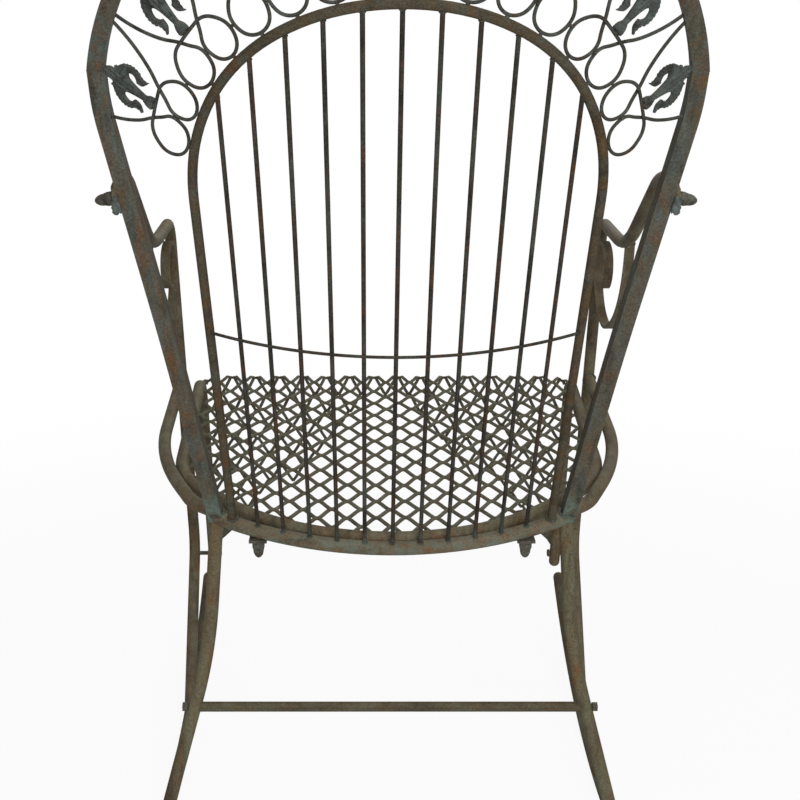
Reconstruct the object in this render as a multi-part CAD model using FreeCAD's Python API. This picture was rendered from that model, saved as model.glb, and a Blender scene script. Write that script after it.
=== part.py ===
import FreeCAD, Part
import os
from math import acos, asin, atan2, ceil, cos, hypot, pi, radians, sin, sqrt, tan

# Iron rocking chair of bent tube, with a barrel back and a seat of expanded metal.
# Millimetres. While it is drawn, +X is the sitter's right, +Y the way the sitter faces, +Z up,
# the floor is z = 0 and the middle of the back's bottom rail is at x = 0, y = 0.
# At the end all pieces are moved along Y, so that the origin lies under the middle of the chair.

V = FreeCAD.Vector
UP = V(0, 0, 1)
FORWARD = V(0, 1, 0)
SIDEWAYS = V(1, 0, 0)

# Stock sizes
TUBE = 16.0
FRAME_SQUARE = 16.0
ARCH_ROD = 9.5
BACK_ROD = 4.5
LUMBAR_ROD = 3.2
LOOP_ROD = 3.3
STRETCHER = 12.0
SCROLL_BAR_WIDTH = 12.0
SCROLL_BAR_THICK = 4.5
CLEARANCE = 0.2
SAW_BLOCK = 96.0

# Back: a barrel leaning backwards, drawn by the way round it (u) and the way up it (v)
RAIL_HEIGHT = 400.0
RECLINE = radians(20.0)
BARREL_RADIUS = 415.0
RAIL_REACH = 211.0
ARCH_CENTRE_UP = 412.0
INNER_ARCH_RADIUS = 200.0
INNER_FOOT_REACH = 185.0
OUTER_ARCH_RADIUS = 325.0
SEAM_ANGLE = radians(17.5)
STILE_FOOT_REACH = 207.0
STILE_WAIST_REACH = 250.0
STILE_WAIST_UP = 232.0
STILE_WAIST_BEND = 1500.0
STILE_SHOULDER_BELOW_SEAM = 38.0
STILE_SHOULDER_BEND = 150.0
BACK_ROD_COUNT = 11
BACK_ROD_PITCH_FOOT = 30.6
BACK_ROD_PITCH_TOP = 33.2
LUMBAR_UP = 260.0

# Band of looped rods and lilies between the two arches
LOOP_UNITS_PER_SIDE = 4
LOOP_UNIT_ANGLE = radians(20.0)
LOOP_WAIST_RADIUS = 248.5
LOOP_TOP_RADIUS = 246.0
LOOP_TAIL_BEND_RADIUS = 270.0
LOOP_CREEP = radians(1.0)
LOOP_NECK_SHARE = 0.30
LOOP_TAIL_SHARE = 0.66
LOOP_END_SHARE = 0.95
LOOP_TURN_ANGLES = (60.0, 0.0, -60.0, -120.0, 180.0)
LILY_KNOB = 9.2
LILY_STEM = 5.6
LILY_THICK = 5.0
LILY_LEAF_SPAN = 38.0
LILY_LEAF_TOP_UP = 42.5
LILY_SPEAR = 15.0
LILY_SPEAR_UP = 50.0
LILY_NECK_SHARE = 0.9
LILY_CROOK_SHARE = 0.56
LILY_BUD_SHARES = (0.68, 0.90)
LILY_THROAT = (0.24, 0.71)
LILY_ARCH = (0.46, 0.77)
LILY_BELLY = (0.72, 0.56)
LILY_LEAF_TIP = (0.74, 0.259)
LILY_SHOULDER = (1.0, 0.66)
LILY_CROWN = (0.52, 1.0)
LILY_NOTCH = (0.42, 0.94)

# Seat: a horseshoe of tube in a tilted plane, turned down at the front corners
SEAT_ABOVE_RAIL = 5.0
SEAT_SLOPE = 0.1
SEAT_REAR_CORNER_REACH = 100.0
SEAT_REAR_BEND = 260.0
SEAT_SIDE_CORNER_REACH = 257.8
SEAT_SIDE_CORNER_FORWARD = 158.0
SEAT_SIDE_BEND = 150.0
SEAT_FRONT_REACH = 267.0
SEAT_FRONT_FORWARD = 486.0
SEAT_FRONT_BEND = 22.0
HOOK_REACH = 257.0
HOOK_END_HEIGHT = 168.0
HOOK_BOLT_HEIGHT = 181.0
MESH_LATERAL = 34.0
MESH_ENDWAYS = 42.5
MESH_STRAND = 4.0
MESH_THICK = 3.0
APRON_APEX_DROP = 24.0
GUSSET_REACH = 196.0
GUSSET_RISE = 70.0

# Side frames
ARM_BOLT_UP = 384.0
ARM_TAB_WIDTH = 22.0
ARM_TAB_THICK = 4.0
ARM_THROAT_WIDER = 1.05
ARM_THROAT_THICKER = 1.3
ARM_NECK_LENGTH = 34.0
ARM_START_RISE = 5.0
ARM_FALL_REACH = 285.0
ARM_FALL_FORWARD = 62.0
ARM_FALL_HEIGHT = 803.0
ARM_FALL_BEND = 130.0
ARM_DIP_REACH = 297.0
ARM_DIP_FORWARD = 286.0
ARM_DIP_HEIGHT = 682.0
ARM_DIP_BEND = 290.0
POST_TOP_REACH = 305.0
POST_FORWARD = 500.0
POST_TOP_HEIGHT = 681.0
POST_TOP_BEND = 30.0
KNEE_REACH = 287.0
KNEE_HEIGHT = 190.0
KNEE_BEND = 60.0
FRONT_FOOT_FORWARD = 300.0
BOW_ABOVE_RAIL = 11.5
BOW_SLOPE = 0.0835
BOW_BELLY_REACH = 289.0
BOW_BELLY_FORWARD = 217.0
BOW_BELLY_BEND = 450.0
BOW_TAIL_REACH = 230.5
BOW_TAIL_FORWARD = 88.0
BOW_TAIL_BEND = 60.0
REAR_LEG_FORWARD = 64.3
REAR_LEG_TOP_REACH = 199.5
REAR_LEG_ABOVE_RAIL = 21.0
REAR_LEG_BEND_REACH = 214.5
REAR_LEG_BEND_HEIGHT = 240.0
REAR_LEG_BEND = 700.0
STRETCHER_HEIGHT = 165.5
ROCKER_REACH = 276.0
ROCKER_RADIUS = 800.0
ROCKER_LOW_FORWARD = 166.4
ROCKER_FRONT_FORWARD = 556.0
ROCKER_REAR_FORWARD = -190.0
ROCKER_WEAR = 0.4
SCROLL_REAR_FORWARD = 286.0
SCROLL_LOW_FORWARD = 420.0
SCROLL_LOW_HEIGHT = 553.0
SCROLL_CURL = 29.0
SCROLL_CURL_REACH = 37.0
SCROLL_CURL_DROP = 15.0

# Fasteners
BOLT = 6.0
BOLT_HEAD = 11.0
BOLT_HEAD_THICK = 3.5
NUT_FLATS = 10.5
NUT_BASE = 6.0
ACORN_HEIGHT = 17.0
WASHER = 14.0
WASHER_THICK = 1.6
BACK_STUD_REACH = 150.0
LUG_WIDTH = 20.0
LUG_THICK = 3.0


# Plain geometry

def unit(vector):
    return vector * (1.0 / vector.Length)


def flipped(shape):
    """The same piece on the sitter's left."""
    return shape.mirror(V(0, 0, 0), SIDEWAYS)


def edge_leaving(start, heading, end):
    """Line or arc from start to end that sets off along heading."""
    chord = end - start
    along = unit(chord)
    side = heading - along * heading.dot(along)
    if side.Length < 1e-6:
        return Part.LineSegment(start, end).toShape()
    half_turn = acos(max(-1.0, min(1.0, heading.dot(along))))
    rise = chord.Length / 2.0 * tan(half_turn / 2.0)
    middle = start + chord * 0.5 + unit(side) * rise
    return Part.Arc(start, middle, end).toShape()


def two_arcs(start, heading, end, leaving):
    """Two tangent arcs that join start to end along the given directions."""
    gap = end - start
    across = gap.dot(heading + leaving)
    spread = 1.0 - heading.dot(leaving)
    if spread < 1e-9:
        reach = gap.dot(gap) / (2.0 * across)
    else:
        reach = (sqrt(across ** 2 + 2.0 * spread * gap.dot(gap)) - across) / (2.0 * spread)
    first = start + heading * reach
    second = end - leaving * reach
    middle = (first + second) * 0.5
    return [edge_leaving(start, heading, middle), edge_leaving(middle, unit(second - first), end)]


def smooth_edges(points, first=None, last=None):
    """Tangent arcs through points, each point's direction being that of the circle by its neighbours."""
    chords = [b - a for a, b in zip(points, points[1:])]
    inner = []
    for before, after in zip(chords, chords[1:]):
        inner.append(unit(before * (after.Length / before.Length) + after * (before.Length / after.Length)))
    if first is None:
        first = mirrored_heading(inner[0], chords[0])
    if last is None:
        last = mirrored_heading(inner[-1], chords[-1])
    headings = [first] + inner + [last]
    edges = []
    for i in range(len(points) - 1):
        edges += two_arcs(points[i], headings[i], points[i + 1], headings[i + 1])
    return edges


def mirrored_heading(heading, chord):
    """Direction at the far end of an arc, from the one at its near end."""
    along = unit(chord)
    return along * (2.0 * heading.dot(along)) - heading


def bent_edges(corners, bends):
    """Straight runs between corners, with each inner corner bent to its radius."""
    edges = []
    start = corners[0]
    for before, corner, after, bend in zip(corners, corners[1:], corners[2:], bends):
        arriving = unit(corner - before)
        leaving = unit(after - corner)
        turn = acos(max(-1.0, min(1.0, arriving.dot(leaving))))
        setback = bend * tan(turn / 2.0)
        first = corner - arriving * setback
        second = corner + leaving * setback
        edges.append(Part.LineSegment(start, first).toShape())
        edges.append(edge_leaving(first, arriving, second))
        start = second
    edges.append(Part.LineSegment(start, corners[-1]).toShape())
    return edges


def start_heading(edge):
    return unit(edge.tangentAt(edge.FirstParameter))


def round_bar(edges, diameter):
    """A round section carried along tangent edges."""
    start = edges[0].valueAt(edges[0].FirstParameter)
    circle = Part.makeCircle(diameter / 2.0, start, start_heading(edges[0]))
    return Part.Wire(edges).makePipeShell([Part.Wire([circle])], True, False)


def tube_seat(edges):
    """A slightly fat copy of a tube, by which the end of a piece welded to it is shaped."""
    return round_bar(edges, TUBE + 2.0 * CLEARANCE)


def flat_bar(edges, width, thick, facing):
    """A rectangular section carried along edges, its width kept along a fixed direction."""
    start = edges[0].valueAt(edges[0].FirstParameter)
    heading = start_heading(edges[0])
    across = unit(facing - heading * facing.dot(heading))
    other = unit(heading.cross(across))
    corners = []
    for a, b in ((1, 1), (-1, 1), (-1, -1), (1, -1), (1, 1)):
        corners.append(start + across * (a * width / 2.0) + other * (b * thick / 2.0))
    pipe = Part.BRepOffsetAPI.MakePipeShell(Part.Wire(edges))
    pipe.setBiNormalMode(facing)
    pipe.add(Part.makePolygon(corners))
    pipe.build()
    pipe.makeSolid()
    return pipe.shape()


def placed(shape, origin, x_axis, y_axis, z_axis):
    """Moves a shape drawn at the origin to a new origin and axes."""
    turn = FreeCAD.Matrix(
        x_axis.x, y_axis.x, z_axis.x, origin.x,
        x_axis.y, y_axis.y, z_axis.y, origin.y,
        x_axis.z, y_axis.z, z_axis.z, origin.z,
        0, 0, 0, 1)
    shape.Placement = FreeCAD.Placement(turn).multiply(shape.Placement)
    return shape


def dome(point, outward, diameter):
    """Half ball that closes a tube's end."""
    return Part.makeSphere(diameter / 2.0, point, outward, 0, 90, 360)


def sawn(shape, point, outward):
    """The shape without what lies past a plane."""
    block = Part.makeBox(SAW_BLOCK, SAW_BLOCK, SAW_BLOCK, V(-SAW_BLOCK / 2.0, -SAW_BLOCK / 2.0, 0))
    block.Placement = FreeCAD.Placement(point, FreeCAD.Rotation(UP, outward))
    return shape.cut(block)


def coped(shape, *seats):
    """The shape with its ends shaped to the pieces that it is welded to; only its largest part is kept."""
    for seat in seats:
        shape = shape.cut(seat)
    return max(shape.Solids, key=lambda solid: solid.Volume)


# Places on the barrel back

def on_back(u, v, lift=0.0):
    """Point at arc length u round the barrel and height v up it, lifted towards the sitter."""
    angle = u / BARREL_RADIUS
    radius = BARREL_RADIUS - lift
    depth = BARREL_RADIUS - radius * cos(angle)
    y = depth * cos(RECLINE) - v * sin(RECLINE)
    z = RAIL_HEIGHT + v * cos(RECLINE) + depth * sin(RECLINE)
    return V(radius * sin(angle), y, z)


def round_arch(radius, angle, lift=0.0):
    """Point on the back by its distance and angle from the arches' centre."""
    return on_back(radius * cos(angle), ARCH_CENTRE_UP + radius * sin(angle), lift)


BACK_FACING = V(0, cos(RECLINE), sin(RECLINE))
SEAM_REACH = OUTER_ARCH_RADIUS * cos(SEAM_ANGLE)
SEAM_UP = ARCH_CENTRE_UP + OUTER_ARCH_RADIUS * sin(SEAM_ANGLE)


SHOULDER_UP = SEAM_UP - STILE_SHOULDER_BELOW_SEAM
STILE_WAIST = on_back(STILE_WAIST_REACH, STILE_WAIST_UP)
STILE_SHOULDER = on_back(SEAM_REACH, SHOULDER_UP)


def seam_plane():
    """Point and upward normal of the mitre between the right stile and the top arch."""
    point = on_back(SEAM_REACH, SEAM_UP)
    rising = unit(on_back(SEAM_REACH, SEAM_UP + 1.0) - point)
    turning = unit(round_arch(OUTER_ARCH_RADIUS, SEAM_ANGLE + 0.01) - point)
    return point, unit(rising + turning)


# Back unit

def right_stile(rail):
    corners = [
        on_back(STILE_FOOT_REACH, 0.0),
        STILE_WAIST,
        STILE_SHOULDER,
        on_back(SEAM_REACH, SEAM_UP + FRAME_SQUARE),
    ]
    edges = bent_edges(corners, [STILE_WAIST_BEND, STILE_SHOULDER_BEND])
    bar = flat_bar(edges, FRAME_SQUARE, FRAME_SQUARE, BACK_FACING)
    point, normal = seam_plane()
    return coped(sawn(bar, point, normal), rail)


def top_arch():
    past_seam = SEAM_ANGLE - FRAME_SQUARE / OUTER_ARCH_RADIUS
    steps = 5
    points = []
    for i in range(steps + 1):
        points.append(round_arch(OUTER_ARCH_RADIUS, pi / 2.0 + (past_seam - pi / 2.0) * i / steps))
    edges = smooth_edges(points, first=SIDEWAYS)
    half = flat_bar(edges, FRAME_SQUARE, FRAME_SQUARE, BACK_FACING)
    point, normal = seam_plane()
    half = sawn(half, point, normal * -1.0)
    return half.fuse(flipped(half)).removeSplitter()


def inner_arch(rail):
    foot_distance = hypot(INNER_FOOT_REACH, ARCH_CENTRE_UP)
    spring = acos(INNER_ARCH_RADIUS / foot_distance) - atan2(ARCH_CENTRE_UP, INNER_FOOT_REACH)
    steps = 8
    points = []
    for i in range(steps + 1):
        points.append(round_arch(INNER_ARCH_RADIUS, spring + (pi - 2.0 * spring) * i / steps))
    right_foot = on_back(INNER_FOOT_REACH, 0.0)
    left_foot = on_back(-INNER_FOOT_REACH, 0.0)
    rising = unit(points[0] - right_foot)
    falling = unit(left_foot - points[-1])
    edges = [Part.LineSegment(right_foot, points[0]).toShape()]
    edges += smooth_edges(points, rising, falling)
    edges.append(Part.LineSegment(points[-1], left_foot).toShape())
    return coped(round_bar(edges, ARCH_ROD), rail)


def bottom_rail():
    points = [on_back(RAIL_REACH * share, 0.0) for share in (-1.0, 0.0, 1.0)]
    return round_bar([Part.Arc(*points).toShape()], TUBE)


def back_rod(place, arch, rail):
    """One upright rod; place counts from the middle one, to the right."""
    foot = place * BACK_ROD_PITCH_FOOT
    head = place * BACK_ROD_PITCH_TOP
    head_up = ARCH_CENTRE_UP + sqrt(INNER_ARCH_RADIUS ** 2 - head ** 2)
    line = Part.LineSegment(on_back(foot, 0.0), on_back(head, head_up)).toShape()
    return coped(round_bar([line], BACK_ROD), arch, rail)


def lumbar_rod():
    """Thin rod across the back of the upright rods, its ends on the inner arch."""
    share_up = LUMBAR_UP / ARCH_CENTRE_UP
    near = BACK_ROD / 2.0 + CLEARANCE
    leg_reach = INNER_FOOT_REACH + (INNER_ARCH_RADIUS - INNER_FOOT_REACH) * share_up
    reach = leg_reach - sqrt((ARCH_ROD / 2.0) ** 2 - near ** 2) - CLEARANCE
    behind = -near - LUMBAR_ROD / 2.0
    points = [on_back(reach * share, LUMBAR_UP, behind) for share in (-1.0, 0.0, 1.0)]
    return round_bar([Part.Arc(*points).toShape()], LUMBAR_ROD)


def loop_axis(place):
    """Angle of one loop unit's own axis, counted from the lowest on the right."""
    lowest = pi / 2.0 - (LOOP_UNITS_PER_SIDE - 0.5) * LOOP_UNIT_ANGLE
    step = LOOP_UNIT_ANGLE + 2.0 * LOOP_CREEP / (2 * LOOP_UNITS_PER_SIDE - 1)
    return lowest - LOOP_CREEP + place * step


def loop_half():
    """Half of a unit from its waist to its end: angle from the axis, radius and lift of each point."""
    inner = INNER_ARCH_RADIUS + (ARCH_ROD + LOOP_ROD) / 2.0 + CLEARANCE
    middle = (inner + LOOP_TOP_RADIUS) / 2.0
    near = LOOP_ROD / 2.0 + CLEARANCE
    far = LOOP_UNIT_ANGLE / 2.0 * middle - LOOP_ROD / 2.0 - CLEARANCE
    crossing = LOOP_ROD + 2.0 * CLEARANCE
    points = [(0.0, LOOP_WAIST_RADIUS, 0.0)]
    for i, turn in enumerate(LOOP_TURN_ANGLES):
        aside = (near + far) / 2.0 + (far - near) / 2.0 * cos(radians(turn))
        radius = middle + (LOOP_TOP_RADIUS - inner) / 2.0 * sin(radians(turn))
        points.append((aside / middle, radius, crossing * max(0.0, i - 2.0) / 3.0))
    half_unit = LOOP_UNIT_ANGLE / 2.0
    points.append((LOOP_NECK_SHARE * half_unit, LOOP_TOP_RADIUS, crossing))
    points.append((LOOP_TAIL_SHARE * half_unit, LOOP_TAIL_BEND_RADIUS, crossing))
    points.append((LOOP_END_SHARE * half_unit, OUTER_ARCH_RADIUS, 0.0))
    return points


def loop_rod(place, *frames):
    """One unit: in from the frame, round one loop, past the waist, round its twin and out again."""
    axis = loop_axis(place)
    half = loop_half()
    points = [round_arch(radius, axis + angle, lift) for angle, radius, lift in reversed(half)]
    points += [round_arch(radius, axis - angle, lift) for angle, radius, lift in half[1:]]
    return coped(round_bar(smooth_edges(points), LOOP_ROD), *frames)


def leaf_point(shares):
    """A point of the lily's leaf, by its shares of the half span and of the leaf top's height."""
    return V(shares[0] * LILY_LEAF_SPAN / 2.0, shares[1] * LILY_LEAF_TOP_UP, 0)


def lily_face(length):
    """Outline of the cast lily, its knob at the origin and its spear along +Y."""
    knob = LILY_KNOB / 2.0
    stem = LILY_STEM / 2.0
    spear = LILY_SPEAR / 2.0
    waist = stem * LILY_NECK_SHARE
    neck = V(waist, knob + sqrt(knob ** 2 - waist ** 2), 0)
    crook = V(stem, LILY_LEAF_TOP_UP * LILY_CROOK_SHARE, 0)
    arch = leaf_point(LILY_ARCH)
    tip = leaf_point(LILY_LEAF_TIP)
    crown = leaf_point(LILY_CROWN)
    bud = V(spear * LILY_BUD_SHARES[0], LILY_LEAF_TOP_UP * LILY_BUD_SHARES[1], 0)
    right = [
        Part.Arc(V(0, 0, 0), V(knob, knob, 0), neck).toShape(),
        Part.LineSegment(neck, crook).toShape(),
        Part.Arc(crook, leaf_point(LILY_THROAT), arch).toShape(),
        Part.Arc(arch, leaf_point(LILY_BELLY), tip).toShape(),
        Part.Arc(tip, leaf_point(LILY_SHOULDER), crown).toShape(),
        Part.Arc(crown, leaf_point(LILY_NOTCH), bud).toShape(),
        Part.Arc(bud, V(spear, LILY_SPEAR_UP, 0), V(0, length, 0)).toShape(),
    ]
    left = [edge.mirror(V(0, 0, 0), SIDEWAYS) for edge in right]
    return Part.Face(Part.Wire(Part.__sortEdges__(right + left)))


def lily(place, *frames):
    """A flat casting that stands on a unit's waist and points at the outer frame."""
    axis = loop_axis(place)
    base = round_arch(LOOP_WAIST_RADIUS + LOOP_ROD / 2.0 + CLEARANCE, axis)
    tip = round_arch(OUTER_ARCH_RADIUS - FRAME_SQUARE / 2.0 - CLEARANCE, axis)
    along = unit(tip - base)
    middle_lift = round_arch(LOOP_WAIST_RADIUS, axis, 1.0) - round_arch(LOOP_WAIST_RADIUS, axis)
    facing = unit(middle_lift - along * middle_lift.dot(along))
    across = along.cross(facing)
    plate = lily_face((tip - base).Length).extrude(V(0, 0, LILY_THICK))
    plate.translate(V(0, 0, -LILY_THICK / 2.0))
    return coped(placed(plate, base, across, along, facing), *frames)


# Seat unit

SEAT_REAR_HEIGHT = RAIL_HEIGHT + SEAT_ABOVE_RAIL
REAR_RIM_FORWARD = sqrt((TUBE + CLEARANCE) ** 2 - SEAT_ABOVE_RAIL ** 2)


def on_seat(x, y):
    """Point in the tilted plane of the seat."""
    return V(x, y, SEAT_REAR_HEIGHT + SEAT_SLOPE * (y - REAR_RIM_FORWARD))


SEAT_FACING = unit(V(0, -SEAT_SLOPE, 1.0))


def horseshoe_corners():
    """Corners of the seat's outline, from the right front round the rear to the left front."""
    right = [
        on_seat(SEAT_FRONT_REACH, SEAT_FRONT_FORWARD),
        on_seat(SEAT_SIDE_CORNER_REACH, SEAT_SIDE_CORNER_FORWARD),
        on_seat(SEAT_REAR_CORNER_REACH, REAR_RIM_FORWARD),
    ]
    return right + [V(-p.x, p.y, p.z) for p in reversed(right)]


HORSESHOE_BENDS = [SEAT_SIDE_BEND, SEAT_REAR_BEND, SEAT_REAR_BEND, SEAT_SIDE_BEND]


def hook_end(side):
    return V(side * HOOK_REACH, SEAT_FRONT_FORWARD, HOOK_END_HEIGHT)


def seat_rim():
    corners = [hook_end(1)] + horseshoe_corners() + [hook_end(-1)]
    edges = bent_edges(corners, [SEAT_FRONT_BEND] + HORSESHOE_BENDS + [SEAT_FRONT_BEND])
    rim = round_bar(edges, TUBE)
    for side in (1, -1):
        downward = unit(hook_end(side) - on_seat(side * SEAT_FRONT_REACH, SEAT_FRONT_FORWARD))
        rim = rim.fuse(dome(hook_end(side), downward, TUBE))
    return rim.removeSplitter()


def diamond_net(region, field, width, height):
    """A flat region at z = 0 with staggered diamond holes inside field, and one width of strand between."""
    box = region.BoundBox
    shrink = 1.0 - MESH_STRAND * hypot(width, height) / (width * height)
    half_x = width / 2.0 * shrink
    half_y = height / 2.0 * shrink
    columns = ceil(max(box.XMax, -box.XMin) / width) + 1
    rows = ceil(box.YLength / (height / 2.0)) + 1
    holes = []
    for row in range(rows):
        y = box.YMax - row * height / 2.0
        for column in range(-columns, columns + 1):
            x = (column + 0.5 * (row % 2)) * width
            corners = [V(x - half_x, y), V(x, y - half_y), V(x + half_x, y), V(x, y + half_y)]
            holes.append(Part.Face(Part.makePolygon(corners + corners[:1])))
    netted = region.cut(Part.makeCompound(holes).common(field))
    return max(netted.Faces, key=lambda face: face.Area)


def thick_sheet(face):
    """A flat face given the mesh's thickness about its own plane."""
    sheet = face.extrude(V(0, 0, MESH_THICK))
    sheet.translate(V(0, 0, -MESH_THICK / 2.0))
    return sheet


def seat_mesh(rim):
    """Expanded metal in the plane of the seat, its strands ending on the rim and on a front strand."""
    tilt = hypot(1.0, SEAT_SLOPE)
    flat = [V(p.x, (p.y - REAR_RIM_FORWARD) * tilt, 0) for p in horseshoe_corners()]
    edges = bent_edges(flat, HORSESHOE_BENDS)
    edges.append(Part.LineSegment(flat[-1], flat[0]).toShape())
    outline = Part.Face(Part.Wire(edges))
    front = outline.BoundBox.YMax - MESH_STRAND
    corner = V(-SEAT_FRONT_REACH, -MESH_ENDWAYS, 0)
    field = Part.makePlane(2.0 * SEAT_FRONT_REACH, front + MESH_ENDWAYS, corner)
    sheet = thick_sheet(diamond_net(outline, field, MESH_LATERAL, MESH_ENDWAYS))
    placed(sheet, on_seat(0, REAR_RIM_FORWARD), SIDEWAYS, SEAT_FACING.cross(SIDEWAYS), SEAT_FACING)
    return coped(sheet, rim)


def right_apron(rim):
    """Right half of the mesh that hangs from the seat's front edge, cut slanting up to the middle."""
    top = on_seat(0, SEAT_FRONT_FORWARD).z - MESH_THICK / 2.0 - CLEARANCE
    low = HOOK_BOLT_HEIGHT + BOLT_HEAD
    corners = [
        V(0, top - APRON_APEX_DROP),
        V(HOOK_REACH, low),
        V(SEAT_FRONT_REACH, top),
        V(0, top),
    ]
    outline = Part.Face(Part.makePolygon(corners + corners[:1]))
    slope = (corners[0] - corners[1]).Length / HOOK_REACH
    apex = top - APRON_APEX_DROP + MESH_STRAND * slope
    inset = [
        V(MESH_STRAND / 2.0, apex),
        V(GUSSET_REACH, apex + (low - top + APRON_APEX_DROP) * GUSSET_REACH / HOOK_REACH),
        V(HOOK_REACH, low + GUSSET_RISE),
        V(SEAT_FRONT_REACH, top - MESH_STRAND),
        V(MESH_STRAND / 2.0, top - MESH_STRAND),
    ]
    field = Part.Face(Part.makePolygon(inset + inset[:1]))
    sheet = thick_sheet(diamond_net(outline, field, MESH_LATERAL, MESH_ENDWAYS))
    placed(sheet, V(0, SEAT_FRONT_FORWARD, 0), SIDEWAYS, UP, FORWARD * -1.0)
    return coped(sheet, rim)


# Side frames, drawn for the sitter's right

def on_rocker(y):
    """Point on the rocker's centre line."""
    centre_up = TUBE / 2.0 - ROCKER_WEAR + ROCKER_RADIUS
    return V(ROCKER_REACH, y, centre_up - sqrt(ROCKER_RADIUS ** 2 - (y - ROCKER_LOW_FORWARD) ** 2))


def rocker_edges():
    """The rear and the front half of the rocker's bow, which meet at its lowest point."""
    edges = []
    halves = ((ROCKER_REAR_FORWARD, ROCKER_LOW_FORWARD), (ROCKER_LOW_FORWARD, ROCKER_FRONT_FORWARD))
    for start, end in halves:
        places = (start, (start + end) / 2.0, end)
        edges.append(Part.Arc(*[on_rocker(y) for y in places]).toShape())
    return edges


def right_rocker():
    bar = round_bar(rocker_edges(), TUBE)
    for y, way in ((ROCKER_FRONT_FORWARD, 1.0), (ROCKER_REAR_FORWARD, -1.0)):
        angle = asin((y - ROCKER_LOW_FORWARD) / ROCKER_RADIUS)
        bar = bar.fuse(dome(on_rocker(y), V(0, way * cos(angle), way * sin(angle)), TUBE))
    return sawn(bar, V(ROCKER_REACH, ROCKER_LOW_FORWARD, 0), UP * -1.0)


def post_reach(z):
    """Half width of the front post at a height above the knee."""
    lean = (POST_TOP_REACH - KNEE_REACH) / (POST_TOP_HEIGHT - KNEE_HEIGHT)
    return KNEE_REACH + lean * (z - KNEE_HEIGHT)


def arm_bolt_point():
    """Middle of the right stile at the arm's height."""
    share = (ARM_BOLT_UP - STILE_WAIST_UP) / (SHOULDER_UP - STILE_WAIST_UP)
    return STILE_WAIST + (STILE_SHOULDER - STILE_WAIST) * share


def stile_outward():
    """Outward normal of the right stile's outer face, where the arm is bolted."""
    return unit(BACK_FACING.cross(STILE_SHOULDER - STILE_WAIST))


def arm_tab_frame():
    """Middle of the tab's inner face, and its directions: outward, along the arm and up."""
    outward = stile_outward()
    face = arm_bolt_point() + outward * (FRAME_SQUARE / 2.0 + CLEARANCE)
    fall = V(0, ARM_NECK_LENGTH, ARM_START_RISE)
    heading = unit(fall - outward * fall.dot(outward))
    return face, outward, heading, outward.cross(heading)


def arm_edges():
    """Centre line of arm, post and front leg, from the tab's neck to the rocker."""
    face, outward, heading, _ = arm_tab_frame()
    corners = [
        face + outward * (TUBE / 2.0) + heading * ARM_NECK_LENGTH,
        V(ARM_FALL_REACH, ARM_FALL_FORWARD, ARM_FALL_HEIGHT),
        V(ARM_DIP_REACH, ARM_DIP_FORWARD, ARM_DIP_HEIGHT),
        V(POST_TOP_REACH, POST_FORWARD, POST_TOP_HEIGHT),
        V(KNEE_REACH, POST_FORWARD, KNEE_HEIGHT),
        on_rocker(FRONT_FOOT_FORWARD),
    ]
    return bent_edges(corners, [ARM_FALL_BEND, ARM_DIP_BEND, POST_TOP_BEND, KNEE_BEND])


def right_arm():
    """Arm, post and front leg in one tube, flattened at the rear into a tab on the stile."""
    face, outward, heading, rising = arm_tab_frame()
    edges = arm_edges()
    tab_half = ARM_TAB_WIDTH / 2.0
    throat = face + outward * (ARM_TAB_THICK / 2.0) + heading * tab_half
    high = throat + rising * (tab_half * ARM_THROAT_WIDER)
    flat = Part.Ellipse(high, throat + outward * (ARM_TAB_THICK / 2.0 * ARM_THROAT_THICKER), throat)
    ring = Part.Circle(edges[0].valueAt(edges[0].FirstParameter), start_heading(edges[0]), TUBE / 2.0)
    ring.XAxis = rising
    neck = Part.makeLoft([Part.Wire([flat.toShape()]), Part.Wire([ring.toShape()])], True, True)
    plate = Part.makeBox(ARM_TAB_THICK, tab_half + CLEARANCE, ARM_TAB_WIDTH, V(0, 0, -tab_half))
    placed(plate, face, outward, heading, rising)
    disc = Part.makeCylinder(tab_half, ARM_TAB_THICK, face, outward)
    tube = coped(round_bar(edges, TUBE), tube_seat(rocker_edges()))
    return tube.fuse(neck.fuse(plate.fuse(disc)))


def rear_leg_foot():
    return on_rocker(REAR_LEG_FORWARD)


def rear_leg_reach(z):
    """Half width of a rear leg's centre line below its bend."""
    foot = rear_leg_foot()
    lean = (foot.x - REAR_LEG_BEND_REACH) / (REAR_LEG_BEND_HEIGHT - foot.z)
    return foot.x - lean * (z - foot.z)


def rear_leg_edges():
    corners = [
        V(REAR_LEG_TOP_REACH, REAR_LEG_FORWARD, RAIL_HEIGHT + REAR_LEG_ABOVE_RAIL),
        V(REAR_LEG_BEND_REACH, REAR_LEG_FORWARD, REAR_LEG_BEND_HEIGHT),
        rear_leg_foot(),
    ]
    return bent_edges(corners, [REAR_LEG_BEND])


def right_rear_leg():
    return coped(round_bar(rear_leg_edges(), TUBE), tube_seat(rocker_edges()))


def on_bow(x, y):
    """Point in the tilted plane of the side bow."""
    return V(x, y, RAIL_HEIGHT + BOW_ABOVE_RAIL + BOW_SLOPE * y)


def right_bow():
    """Rail beside the seat, from the front post round to the rear leg."""
    front = on_bow(0, POST_FORWARD)
    corners = [
        on_bow(post_reach(front.z), POST_FORWARD),
        on_bow(BOW_BELLY_REACH, BOW_BELLY_FORWARD),
        on_bow(BOW_TAIL_REACH, BOW_TAIL_FORWARD),
        on_bow(REAR_LEG_TOP_REACH, REAR_LEG_FORWARD),
    ]
    bar = round_bar(bent_edges(corners, [BOW_BELLY_BEND, BOW_TAIL_BEND]), TUBE)
    return coped(bar, tube_seat(arm_edges()), tube_seat(rear_leg_edges()))


def on_scroll(y, z):
    """Point in the scroll's upright plane, between the arm's dip and the post."""
    return V((ARM_DIP_REACH + POST_TOP_REACH) / 2.0, y, z)


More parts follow.
